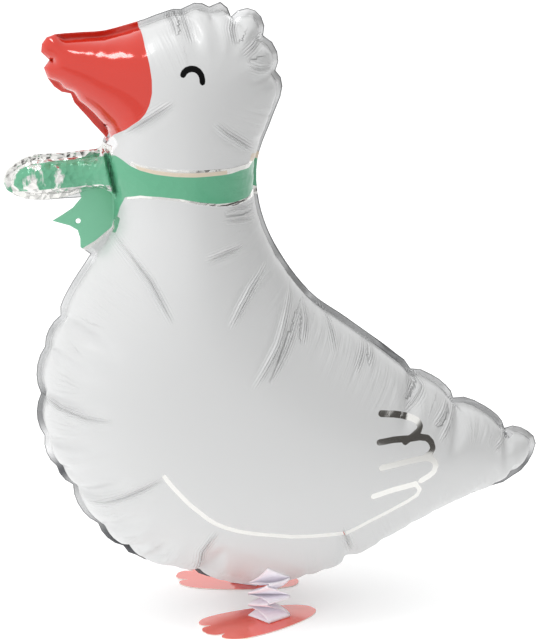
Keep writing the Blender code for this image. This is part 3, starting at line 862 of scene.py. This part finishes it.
def between_seams(along):
    """One where the nearest seam changes from one side of a point to the other, and less beside it."""
    sides = all_pairs(foil_triangles, len(along))[0]
    apart = np.abs(along[sides[:, 0]] - along[sides[:, 1]])
    apart = np.minimum(apart, edge_along[-1] - apart)
    found = np.zeros(len(along))
    found[sides[apart > SEAM_JUMP]] = 1
    for _ in range(JUMP_ROUNDS):
        wider = found.copy()
        np.maximum.at(wider, sides[:, 0], found[sides[:, 1]] - 1 / JUMP_ROUNDS)
        np.maximum.at(wider, sides[:, 1], found[sides[:, 0]] - 1 / JUMP_ROUNDS)
        found = wider
    return found


seam_along_foil = along_seam(foil_plan)
_, crease_side, crease_strength = creased(foil_plan, np.array([v[side_of] for v in foil.verts]))
foil_marks = {
    **print_regions, "seam_depth": seam_depth_of(foil_plan), "seam_along": seam_along_foil,
    "between_seams": between_seams(seam_along_foil), "crease_side": crease_side,
    "crease_strength": crease_strength,
}
for name, values in foil_marks.items():
    mark = foil.verts.layers.float.new(name)
    for v, value in zip(foil.verts, values):
        v[mark] = value
for v, p in zip(foil.verts, foil_place):
    v.co = p
foil.normal_update()
aside_of = foil.verts.layers.float_vector.new("aside")
flange = [f for f in foil.faces if max(abs(v[side_of]) for v in f.verts) < 0.01]
for f in flange:
    for v in f.verts:
        v[aside_of] += f.normal
right_panel = [f for f in foil.faces if max(v[side_of] for v in f.verts) > 0.01]
right_skin = bmesh.ops.split(foil, geom=right_panel)["geom"]
right_layer = bmesh.ops.duplicate(foil, geom=flange)["geom"]
bmesh.ops.reverse_faces(foil, faces=parts_of(right_layer, bmesh.types.BMFace))
right_verts = set(parts_of(right_skin + right_layer, bmesh.types.BMVert))
for v in foil.verts:
    if v[aside_of].length > 0:
        v.co += v[aside_of].normalized() * FOIL_THICKNESS / 2 * (-1 if v in right_verts else 1)
bmesh.ops.remove_doubles(foil, verts=[v for v in right_verts if v[aside_of].length > 0], dist=0.000001)
rims = [e for e in foil.edges if len(e.link_faces) == 1]
near_punch = Vector((punch_centre[0], 0, punch_centre[1]))
for_punch = [e for e in rims if (e.verts[0].co - near_punch).length < PUNCH_RADIUS * 2]
bmesh.ops.bridge_loops(foil, edges=for_punch)
punch_rims = set(for_punch)
bmesh.ops.bridge_loops(foil, edges=[e for e in rims if e not in punch_rims])
bmesh.ops.recalc_face_normals(foil, faces=foil.faces)
balloon = new_piece("balloon_foil", foil)
balloon.data.shade_smooth()


def wire(tree, kind, *inputs, **settings):
    """Adds a node with these settings to a tree. Its inputs come in order, as values or as other nodes'
    sockets, and None leaves one as it is. Returns its first output."""
    node = tree.nodes.new(kind)
    for name, value in settings.items():
        setattr(node, name, value)
    for socket, value in zip(node.inputs, inputs):
        if isinstance(value, bpy.types.NodeSocket):
            tree.links.new(value, socket)
        elif value is not None:
            socket.default_value = value
    return node.outputs[0]


def figure(tree, operation, *inputs, clamp=False):
    return wire(tree, "ShaderNodeMath", *inputs, operation=operation, use_clamp=clamp)


def scaled(tree, value, gain, shift):
    """A value times a gain, plus a shift."""
    return figure(tree, "MULTIPLY_ADD", value, gain, shift)


def ramp(tree, value, gain, shift):
    """The same, kept between zero and one."""
    return figure(tree, "MULTIPLY_ADD", value, gain, shift, clamp=True)


def times(tree, *values):
    product = values[0]
    for value in values[1:]:
        product = figure(tree, "MULTIPLY", product, value)
    return product


def largest(tree, *values):
    found = values[0]
    for value in values[1:]:
        found = figure(tree, "MAXIMUM", found, value)
    return found


def rest_of(tree, mask):
    """One minus a mask."""
    return figure(tree, "SUBTRACT", 1.0, mask)


def speckle(tree, place, scale, detail, *roughness):
    """Noise over the surface, about a half on average."""
    return wire(tree, "ShaderNodeTexNoise", place, None, scale, detail, *roughness)


def object_place_in(tree):
    """The point's place in the object."""
    wire(tree, "ShaderNodeTexCoord")
    return tree.nodes[-1].outputs["Object"]


def paint_over(tree, mask, under, over):
    """Puts one colour over another where the mask is one."""
    node = tree.nodes.new("ShaderNodeMix")
    node.data_type = "RGBA"
    for socket, value in zip((node.inputs[0], node.inputs[6], node.inputs[7]), (mask, under, over)):
        if isinstance(value, bpy.types.NodeSocket):
            tree.links.new(value, socket)
        else:
            socket.default_value = value if isinstance(value, float) else (*value, 1)
    return node.outputs[2]


def new_look(name):
    """A material with its node tree and its shader's inputs."""
    look = bpy.data.materials.new(name)
    look.use_nodes = True
    return look, look.node_tree, look.node_tree.nodes["Principled BSDF"].inputs


def mark_on(tree, name):
    """A float attribute of the mesh."""
    node = tree.nodes.new("ShaderNodeAttribute")
    node.attribute_name = name
    return node.outputs["Fac"]


def filled(tree, depth, softness=0.0004):
    """One inside a printed region, and zero outside it."""
    return ramp(tree, depth, 1 / softness, 0.5)


PEARL_WHITE = (0.665, 0.67, 0.67)
BEAK_RED = (0.62, 0.020, 0.004)
SCARF_GREEN = (0.125, 0.42, 0.25)
TAIL_GREEN = (0.21, 0.56, 0.36)
EYE_BLACK = (0.010, 0.010, 0.010)
BARE_FOIL = (0.76, 0.755, 0.73)
MARGIN_CREAM = (0.70, 0.60, 0.48)
FLANGE_PAINTED_LIGHT = (0.84, 0.845, 0.85)
FLANGE_PAINTED_DARK = (0.10, 0.103, 0.11)
CREAM_SOFTNESS = 0.0012
# painted highlight: streaks of bare metal through the loop's green ink stand in for the crinkled loop's
# glare, most of them at its tip
STREAK_LEAN = 0.5
STREAK_SCALE = (75.0, 75.0, 28.0)
STREAK_CONTRAST = 14.0
STREAK_FADE = (-30.0, -13.9)
# the flange's colour is painted reflection, light and dark in turn: painted darker low down, painted grey
# along the nape, and painted dark along the cut
PAINTED_GLINT_SCALE = 16.0
PAINTED_GLINT_CONTRAST = 4.0
PAINTED_GLINT_RISE = (4.0, -2.1)
NAPE_HEIGHT = 0.39
NAPE_FADE = (-14.0, 2.3)
NAPE_AHEAD = (20.0, 1.6)
NAPE_PAINTED_GREY = 0.35
PAINTED_CUT_LINE_WIDTH = 0.0009
CUT_PAINTED_DARK = 0.75
# how metallic and how rough the print, the flange and the bare metal are
PRINT_METAL = 0.07
FLANGE_METAL = 0.55
TAIL_METAL = 0.3
SMUDGE_SCALE = 9.0
FILM_ROUGHNESS = 0.33
SMUDGE_ROUGHNESS = 0.12
TAIL_ROUGHNESS = 0.12
GLOSS = 0.66
PLAIN_COAT = 0.2
GREEN_COAT = 0.3
# the fine wrinkles run in from the seam, and there are few of them on the beak
WRINKLES_ALONG = 230.0
WRINKLES_INWARD = 14.0
WRINKLE_FADE = (-12.5, 1.05)
WRINKLE_PATCHES = (5.0, -1.5)
WRINKLE_START = (60.0, -0.45)
BEAK_CALM = 0.85
CREASE_REACH = 0.0035
CREASE_APART = 0.0026
FACET_SCALE = 150.0
SCARF_FACETS = 0.25
FILM_SCALE = 35.0
WRINKLE_RELIEF, CREASE_RELIEF, FILM_RELIEF = 1.7, 0.6, 0.03
RELIEF_HEIGHT = 0.0015

foil_look, tree, shader = new_look("printed foil")
beak, green, bare, tail, eye, wing, loop = (
    filled(tree, mark_on(tree, name)) for name in ("beak", "green", "bare", "tail", "eye", "wing", "loop")
)
cream = filled(tree, mark_on(tree, "cream"), CREAM_SOFTNESS)
seam_depth, seam_along = mark_on(tree, "seam_depth"), mark_on(tree, "seam_along")
foil_spot = object_place_in(tree)
wire(tree, "ShaderNodeSeparateXYZ", foil_spot)
ahead, height = tree.nodes[-1].outputs["X"], tree.nodes[-1].outputs["Z"]
# painted highlight: bare metal streaks in the loop's ink where the crinkled loop shows glare
painted_glare_streaks = wire(tree, "ShaderNodeMapping", foil_spot, None, (0.0, STREAK_LEAN, 0.0), STREAK_SCALE)
painted_glare_streaks = speckle(tree, painted_glare_streaks, 1.0, 3.0, 0.6)
painted_glare_streaks = ramp(tree, painted_glare_streaks, STREAK_CONTRAST, scaled(tree, ahead, *STREAK_FADE))
painted_glare_streaks = times(tree, painted_glare_streaks, loop)
silver = largest(tree, times(tree, bare, rest_of(tree, green)), painted_glare_streaks, wing)
rim = rest_of(tree, filled(tree, figure(tree, "SUBTRACT", seam_depth, FLANGE_WIDTH * 0.92)))
rim = times(tree, rim, rest_of(tree, largest(tree, beak, green)))
# painted reflection: the flange's colour goes between light and dark along the seam, standing in for what its
# bare metal mirrors
painted_glint = wire(tree, "ShaderNodeCombineXYZ", times(tree, seam_along, PAINTED_GLINT_SCALE), 0.0, 0.0)
painted_glint = ramp(tree, speckle(tree, painted_glint, 1.0, 1.0), PAINTED_GLINT_CONTRAST, scaled(tree, height, *PAINTED_GLINT_RISE))
nape = figure(tree, "ABSOLUTE", figure(tree, "SUBTRACT", height, NAPE_HEIGHT))
nape = times(tree, ramp(tree, nape, *NAPE_FADE), ramp(tree, ahead, *NAPE_AHEAD))
# painted reflection: a thin dark line along the cut edge
painted_dark_cut_line = rest_of(tree, filled(tree, figure(tree, "SUBTRACT", seam_depth, PAINTED_CUT_LINE_WIDTH)))
painted_glint = times(tree, painted_glint, scaled(tree, nape, -NAPE_PAINTED_GREY, 1.0), scaled(tree, painted_dark_cut_line, -CUT_PAINTED_DARK, 1.0))
colour = paint_over(tree, rim, PEARL_WHITE, paint_over(tree, painted_glint, FLANGE_PAINTED_DARK, FLANGE_PAINTED_LIGHT))
colour = paint_over(tree, silver, colour, paint_over(tree, cream, BARE_FOIL, MARGIN_CREAM))
colour = paint_over(tree, green, colour, paint_over(tree, tail, SCARF_GREEN, TAIL_GREEN))
for mask, ink in ((painted_glare_streaks, BARE_FOIL), (beak, BEAK_RED), (eye, EYE_BLACK)):
    colour = paint_over(tree, mask, colour, ink)
tree.links.new(colour, shader["Base Color"])
shiny = times(tree, largest(tree, silver, times(tree, rim, FLANGE_METAL)), rest_of(tree, cream))
metal = scaled(tree, shiny, 1 - PRINT_METAL, PRINT_METAL)
metal = times(tree, metal, rest_of(tree, times(tree, tail, 1 - TAIL_METAL)))
tree.links.new(largest(tree, metal, eye), shader["Metallic"])
smudge = speckle(tree, foil_spot, SMUDGE_SCALE, 3.0)
roughness = scaled(tree, smudge, SMUDGE_ROUGHNESS, FILM_ROUGHNESS)
roughness = times(tree, roughness, scaled(tree, largest(tree, shiny, beak, loop), -GLOSS, 1.0))
tree.links.new(scaled(tree, tail, TAIL_ROUGHNESS, roughness), shader["Roughness"])
radial = wire(tree, "ShaderNodeCombineXYZ", times(tree, seam_along, WRINKLES_ALONG),
              times(tree, seam_depth, WRINKLES_INWARD), 0.0)
wrinkle = figure(tree, "SUBTRACT", speckle(tree, radial, 1.0, 2.0), 0.5)
near_seam = figure(tree, "POWER", ramp(tree, seam_depth, *WRINKLE_FADE), 2.0)
near_seam = times(tree, near_seam, ramp(tree, smudge, *WRINKLE_PATCHES),
                  rest_of(tree, mark_on(tree, "between_seams")))
off_weld = times(tree, ramp(tree, seam_depth, *WRINKLE_START), scaled(tree, beak, -BEAK_CALM, 1.0))
wrinkle = times(tree, wrinkle, times(tree, near_seam, off_weld))
beside = mark_on(tree, "crease_side")
crisp = figure(tree, "POWER", math.e, times(tree, figure(tree, "ABSOLUTE", beside), -1 / CREASE_REACH))
crisp = times(tree, crisp, figure(tree, "COSINE", times(tree, beside, 2 * math.pi / CREASE_APART)))
crisp = times(tree, crisp, mark_on(tree, "crease_strength"))
facets = wire(tree, "ShaderNodeTexVoronoi", foil_spot, None, FACET_SCALE, feature="F1")
bow = times(tree, largest(tree, bare, green), rest_of(tree, tail), SCARF_FACETS)
film = speckle(tree, foil_spot, FILM_SCALE, 2.0)
relief = times(tree, wrinkle, WRINKLE_RELIEF)
relief = figure(tree, "MULTIPLY_ADD", crisp, CREASE_RELIEF, relief)
relief = figure(tree, "MULTIPLY_ADD", facets, figure(tree, "ADD", loop, bow), relief)
relief = figure(tree, "MULTIPLY_ADD", film, FILM_RELIEF, relief)
bump = wire(tree, "ShaderNodeBump", 1.0, RELIEF_HEIGHT, None, relief)
tree.links.new(bump, shader["Normal"])
coat = largest(tree, beak, scaled(tree, green, GREEN_COAT, PLAIN_COAT))
tree.links.new(times(tree, coat, rest_of(tree, eye)), shader["Coat Weight"])
shader["Coat Roughness"].default_value = 0.08
shader["Specular IOR Level"].default_value = 0.25
balloon.data.materials.append(foil_look)
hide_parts("balloon")
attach(balloon, "root")

# A card foot, die-cut from red printed card, with its toes ahead and a pale cut edge. It lies flat on the
# floor.
FOOT_LENGTH = 0.129
FOOT_WIDTH = 0.072
CARD_THICKNESS = 0.0012
FOOT_AHEAD = 0.011
FOOT_OUT = 0.007
FOOT_SPLAY = math.radians(22)
FOOT_STEP = 0.0016
LEG_PLACE = (-3.1, 8.9)
CARD_RED, CARD_PALE_RED = (0.91, 0.10, 0.06), (0.96, 0.15, 0.105)
CARD_CORE, CARD_PALE_CORE = (0.80, 0.62, 0.56), (0.90, 0.84, 0.80)
FOOT_EDGE = (
    (0.00, 0.00), (0.02, 0.26), (0.12, 0.54), (0.30, 0.78), (0.52, 0.95), (0.72, 1.00), (0.85, 0.94),
    (0.93, 0.74), (0.94, 0.52), (0.885, 0.36, CORNER), (0.96, 0.33), (1.00, 0.14), (1.00, 0.00),
)


def leg_middle(side):
    """Where the middle of a leg is on the floor. Side is -1 for the goose's left and 1 for its right."""
    return Vector((LEG_PLACE[0], side * LEG_PLACE[1])) * GOOSE_HEIGHT / 100


def new_group(name, inputs, outputs):
    """An empty shader node group with named sockets, and the sockets of its input and output nodes."""
    group = bpy.data.node_groups.new(name, "ShaderNodeTree")
    for direction, sockets in (("INPUT", inputs), ("OUTPUT", outputs)):
        for socket, kind in sockets.items():
            group.interface.new_socket(socket, in_out=direction, socket_type=f"NodeSocket{kind}")
    return group, group.nodes.new("NodeGroupInput").outputs, group.nodes.new("NodeGroupOutput").inputs


def paper_like(name, **grain):
    """A material of paper or card, with this grain. An underscore in a name stands for a space."""
    look, tree, shader = new_look(name)
    node = tree.nodes.new("ShaderNodeGroup")
    node.node_tree = paper_grain
    for word, value in grain.items():
        node.inputs[word.replace("_", " ")].default_value = (*value, 1) if isinstance(value, tuple) else value
    for output in node.outputs:
        tree.links.new(output, shader[output.name])
    return look, shader


paper_grain, given, made = new_group(
    "paper grain",
    {"Fibre Scale": "Float", "Fibre Detail": "Float", "Cloud Scale": "Float", "Cloud Detail": "Float",
     "Tint": "Color", "Pale Tint": "Color", "Smoothest": "Float", "Roughness Range": "Float",
     "Relief": "Float", "Relief Height": "Float"},
    {"Base Color": "Color", "Roughness": "Float", "Normal": "Vector"},
)
paper_spot = object_place_in(paper_grain)
fibre = speckle(paper_grain, paper_spot, given["Fibre Scale"], given["Fibre Detail"])
cloud = speckle(paper_grain, paper_spot, given["Cloud Scale"], given["Cloud Detail"])
tint = paint_over(paper_grain, cloud, given["Tint"], given["Pale Tint"])
roughness = scaled(paper_grain, fibre, given["Roughness Range"], given["Smoothest"])
relief = wire(paper_grain, "ShaderNodeBump", given["Relief"], given["Relief Height"], None, fibre)
for value, output in zip((tint, roughness, relief), made):
    paper_grain.links.new(value, output)
card_look, shader = paper_like(
    "red card", Fibre_Scale=420.0, Fibre_Detail=4.0, Cloud_Scale=26.0, Cloud_Detail=2.0, Tint=CARD_RED,
    Pale_Tint=CARD_PALE_RED, Smoothest=0.16, Roughness_Range=0.10, Relief=0.15, Relief_Height=0.00003,
)
shader["Coat Weight"].default_value = 0.8
shader["Coat Roughness"].default_value = 0.1
core_look, _ = paper_like(
    "cut card edge", Fibre_Scale=600.0, Fibre_Detail=3.0, Cloud_Scale=600.0, Cloud_Detail=3.0, Tint=CARD_CORE,
    Pale_Tint=CARD_PALE_CORE, Smoothest=0.7, Roughness_Range=0.2, Relief=0.0, Relief_Height=0.001,
)

for side, word in ((-1, "left"), (1, "right")):
    half = [Vector(((x - 0.5) * FOOT_LENGTH, y * FOOT_WIDTH / 2)) for x, y, *_ in FOOT_EDGE]
    kinds = kinds_of(FOOT_EDGE)
    other_half = [Vector((p.x, -p.y)) for p in half[-2:0:-1]]
    card_edge, _ = walk_round(half + other_half, kinds + kinds[-2:0:-1], FOOT_STEP)
    shape = bmesh.new()
    sole = shape.faces.new([shape.verts.new((x, y, 0)) for x, y in card_edge[::-1]])
    if sole.normal.z > 0:
        sole.normal_flip()
    top = bmesh.ops.extrude_face_region(shape, geom=[sole])["geom"]
    bmesh.ops.translate(shape, verts=parts_of(top, bmesh.types.BMVert), vec=(0, 0, CARD_THICKNESS))
    bmesh.ops.recalc_face_normals(shape, faces=shape.faces)
    shape.normal_update()
    leg = leg_middle(side)
    turn = Matrix.Rotation(math.pi - side * FOOT_SPLAY, 4, "Z")
    move = Matrix.Translation((leg.x - FOOT_AHEAD, leg.y + side * FOOT_OUT, 0))
    bmesh.ops.transform(shape, matrix=move @ turn, verts=shape.verts)
    for f in shape.faces:
        f.material_index = 0 if abs(f.normal.z) > 0.5 else 1
    foot = new_piece(f"card_foot_{word}", shape)
    for look in (card_look, core_look):
        foot.data.materials.append(look)
    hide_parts(f"foot_{word}")
    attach(foot, "root")

# A folded paper leg. Two strips of white paper are laid across each other and folded over and over, and the
# springy stack opens under the belly. Its first leaf is glued to the foot and its last one to the balloon.
STRIP_WIDTH = 0.0290
STRIP_THICKNESS = 0.00028
LEAVES = 12
LEAF_PITCH = 0.0010
FOLD_SLACK = 0.0008
LEAF_GRID = 10
LEAF_CURL, END_LEAF_CURL = 0.0010, 0.3
LEG_TURN = math.radians(58)
LEG_GAP = 0.0003
SIGHT_START = 0.004
PAPER_TINT, PAPER_PALE_TINT, PAPER_PAINTED_GLOW = (0.90, 0.86, 0.93), (0.95, 0.92, 0.96), (0.92, 0.89, 0.95)

paper_look, shader = paper_like(
    "leg paper", Fibre_Scale=520.0, Fibre_Detail=4.0, Cloud_Scale=60.0, Cloud_Detail=2.0, Tint=PAPER_TINT,
    Pale_Tint=PAPER_PALE_TINT, Smoothest=0.6, Roughness_Range=0.2, Relief=0.6, Relief_Height=0.00006,
)
# painted light: the paper glows a little, lifting the leaves out of the belly's shade
shader["Emission Color"].default_value = (*PAPER_PAINTED_GLOW, 1)
shader["Emission Strength"].default_value = 0.05


def leaf_opening(leaf, u, v):
    """How far the leg has opened at (u, v) of a leaf, as a share of its whole opening. From one leaf to the
    next only one corner of the square opens."""
    opened, whole = 0.0, 0.0
    for late, (cu, cv) in enumerate(((0, 1), (0, 0), (1, 0), (1, 1))):
        weight = (u if cu else 1 - u) * (v if cv else 1 - v)
        opened += weight * ((leaf + 3 - late) // 4)
        whole += weight * ((LEAVES + 2 - late) // 4)
    return opened / whole


belly = BVHTree.FromObject(balloon, bpy.context.evaluated_depsgraph_get())
for side, word in ((-1, "left"), (1, "right")):
    left_frame = Matrix.Translation(leg_middle(-1).to_3d()) @ Matrix.Rotation(-LEG_TURN, 4, "Z")
    leg_frame = Matrix.Diagonal((1, -side, 1, 1)) @ left_frame
    foot_top = CARD_THICKNESS + LEG_GAP + STRIP_THICKNESS
    for first, strip in enumerate("ab"):
        shape = bmesh.new()
        rows = []
        for leaf in range(first, LEAVES, 2):
            along_u = leaf % 2 == 0
            length_u = STRIP_WIDTH + (2 * FOLD_SLACK if along_u else 0)
            length_v = STRIP_WIDTH + (0 if along_u else 2 * FOLD_SLACK)
            steps = [k / LEAF_GRID for k in range(LEAF_GRID + 1)]
            for along in steps if (leaf // 2) % 2 == 0 else steps[::-1]:
                row = []
                for across in steps:
                    u, v = (along, across) if along_u else (across, along)
                    place = leg_frame @ Vector(((u - 0.5) * length_u, (v - 0.5) * length_v, 0))
                    under = belly.ray_cast(Vector((place.x, place.y, SIGHT_START)), Vector((0, 0, 1)))[0].z
                    room = under - LEG_GAP - STRIP_THICKNESS - foot_top - LEAF_PITCH * (LEAVES - 1)
                    height = foot_top + LEAF_PITCH * leaf + room * leaf_opening(leaf, u, v)
                    bow = LEAF_CURL * math.sin(math.pi * along)
                    bow *= 1 if 0 < leaf < LEAVES - 1 else END_LEAF_CURL
                    row.append(shape.verts.new((place.x, place.y, height + bow * (1 - 2 * across) ** 2)))
                rows.append(row)
        for lower, upper in zip(rows, rows[1:]):
            for k in range(LEAF_GRID):
                shape.faces.new((lower[k], lower[k + 1], upper[k + 1], upper[k]))
        leg_strip = new_piece(f"paper_leg_{word}_{strip}", shape)
        leg_strip.data.shade_smooth()
        leg_strip.data.materials.append(paper_look)
        sheet = leg_strip.modifiers.new("sheet", "SOLIDIFY")
        sheet.thickness = STRIP_THICKNESS
        sheet.offset = 0
        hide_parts(f"leg_{word}_strip_{strip}")
        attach(leg_strip, "root")

# The floor, and a white studio with one softbox overhead. Behind the camera the room is dark, low down and to
# the right, and the bare foil mirrors that. The floor is painted with shade, greyer towards the camera and to
# the right, and elsewhere it glows, painted light that lightens the goose's shadow.
DARK_SIDE = (0.94, -0.34, 0.0)
FLOOR_SIZE = 12.0
FLOOR_NEAR_GREY, FLOOR_PAINTED_SHADE_GREY = 0.95, 0.80
FLOOR_PAINTED_GLOW = 0.20
FLOOR_ASIDE = (1.8, -0.85)
FLOOR_AHEAD = (2.0, -0.5)
DIM_GREY, DIM_ASIDE, DIM_LOW = 0.34, (1.2, -0.2), (-1.8, 1.5)
DARK, DARK_ASIDE, DARK_LOW = (0.08, 0.076, 0.072), (2.6, -0.9), (-4.0, 2.3)
CEILING_GREY, CEILING = 0.93, (3.0, -1.5)
STUDIO_STRENGTH = 1.17
SOFTBOX_LENGTH, SOFTBOX_WIDTH = 0.9, 0.30
SOFTBOX_POWER = 9.5
SOFTBOX_PLACE = (-0.92, -0.18, 2.43)


def grey(level):
    return level, level, level


def share_toward(tree, place, direction):
    """How far a place lies in a direction."""
    wire(tree, "ShaderNodeVectorMath", place, direction, operation="DOT_PRODUCT")
    return tree.nodes[-1].outputs["Value"]


floor_shape = bmesh.new()
bmesh.ops.create_grid(floor_shape, x_segments=1, y_segments=1, size=FLOOR_SIZE / 2)
floor = new_piece("floor", floor_shape)
floor_look, tree, shader = new_look("pale floor")
floor_spot = object_place_in(tree)
aside = ramp(tree, share_toward(tree, floor_spot, DARK_SIDE), *FLOOR_ASIDE)
away = (-math.sin(camera_azimuth), -math.cos(camera_azimuth), 0.0)
ahead = ramp(tree, share_toward(tree, floor_spot, away), *FLOOR_AHEAD)
# painted shade: the floor is grey towards the camera and to the right
colour = paint_over(tree, ahead, grey(FLOOR_NEAR_GREY), grey(FLOOR_PAINTED_SHADE_GREY))
colour = paint_over(tree, aside, colour, grey(FLOOR_PAINTED_SHADE_GREY))
tree.links.new(colour, shader["Base Color"])
# painted light: the rest of the floor glows, which lightens the goose's shadow on it
painted_floor_glow = paint_over(tree, largest(tree, aside, ahead), grey(1.0), grey(0.0))
tree.links.new(painted_floor_glow, shader["Emission Color"])
shader["Emission Strength"].default_value = FLOOR_PAINTED_GLOW
shader["Roughness"].default_value = 0.8
floor.data.materials.append(floor_look)
studio = bpy.data.worlds.new("studio")
scene.world = studio
studio.use_nodes = True
tree = studio.node_tree
wire(tree, "ShaderNodeTexCoord")
skyward = tree.nodes[-1].outputs["Generated"]
wire(tree, "ShaderNodeSeparateXYZ", skyward)
up = tree.nodes[-1].outputs["Z"]
aside = share_toward(tree, skyward, DARK_SIDE)
dim = times(tree, ramp(tree, aside, *DIM_ASIDE), ramp(tree, up, *DIM_LOW))
dark = times(tree, ramp(tree, aside, *DARK_ASIDE), ramp(tree, up, *DARK_LOW))
sky = paint_over(tree, dim, grey(1.0), grey(DIM_GREY))
sky = paint_over(tree, dark, sky, DARK)
sky = paint_over(tree, ramp(tree, up, *CEILING), sky, grey(CEILING_GREY))
background = tree.nodes["Background"].inputs
tree.links.new(sky, background["Color"])
background["Strength"].default_value = STUDIO_STRENGTH
softbox = bpy.data.objects.new("softbox", bpy.data.lights.new("softbox", "AREA"))
softbox.data.shape = "RECTANGLE"
softbox.data.size = SOFTBOX_LENGTH
softbox.data.size_y = SOFTBOX_WIDTH
softbox.data.energy = SOFTBOX_POWER
softbox.location = SOFTBOX_PLACE
softbox.rotation_mode = "QUATERNION"
softbox.rotation_quaternion = (softbox.location - camera_target).to_track_quat("Z", "Y")
scene.collection.objects.link(softbox)
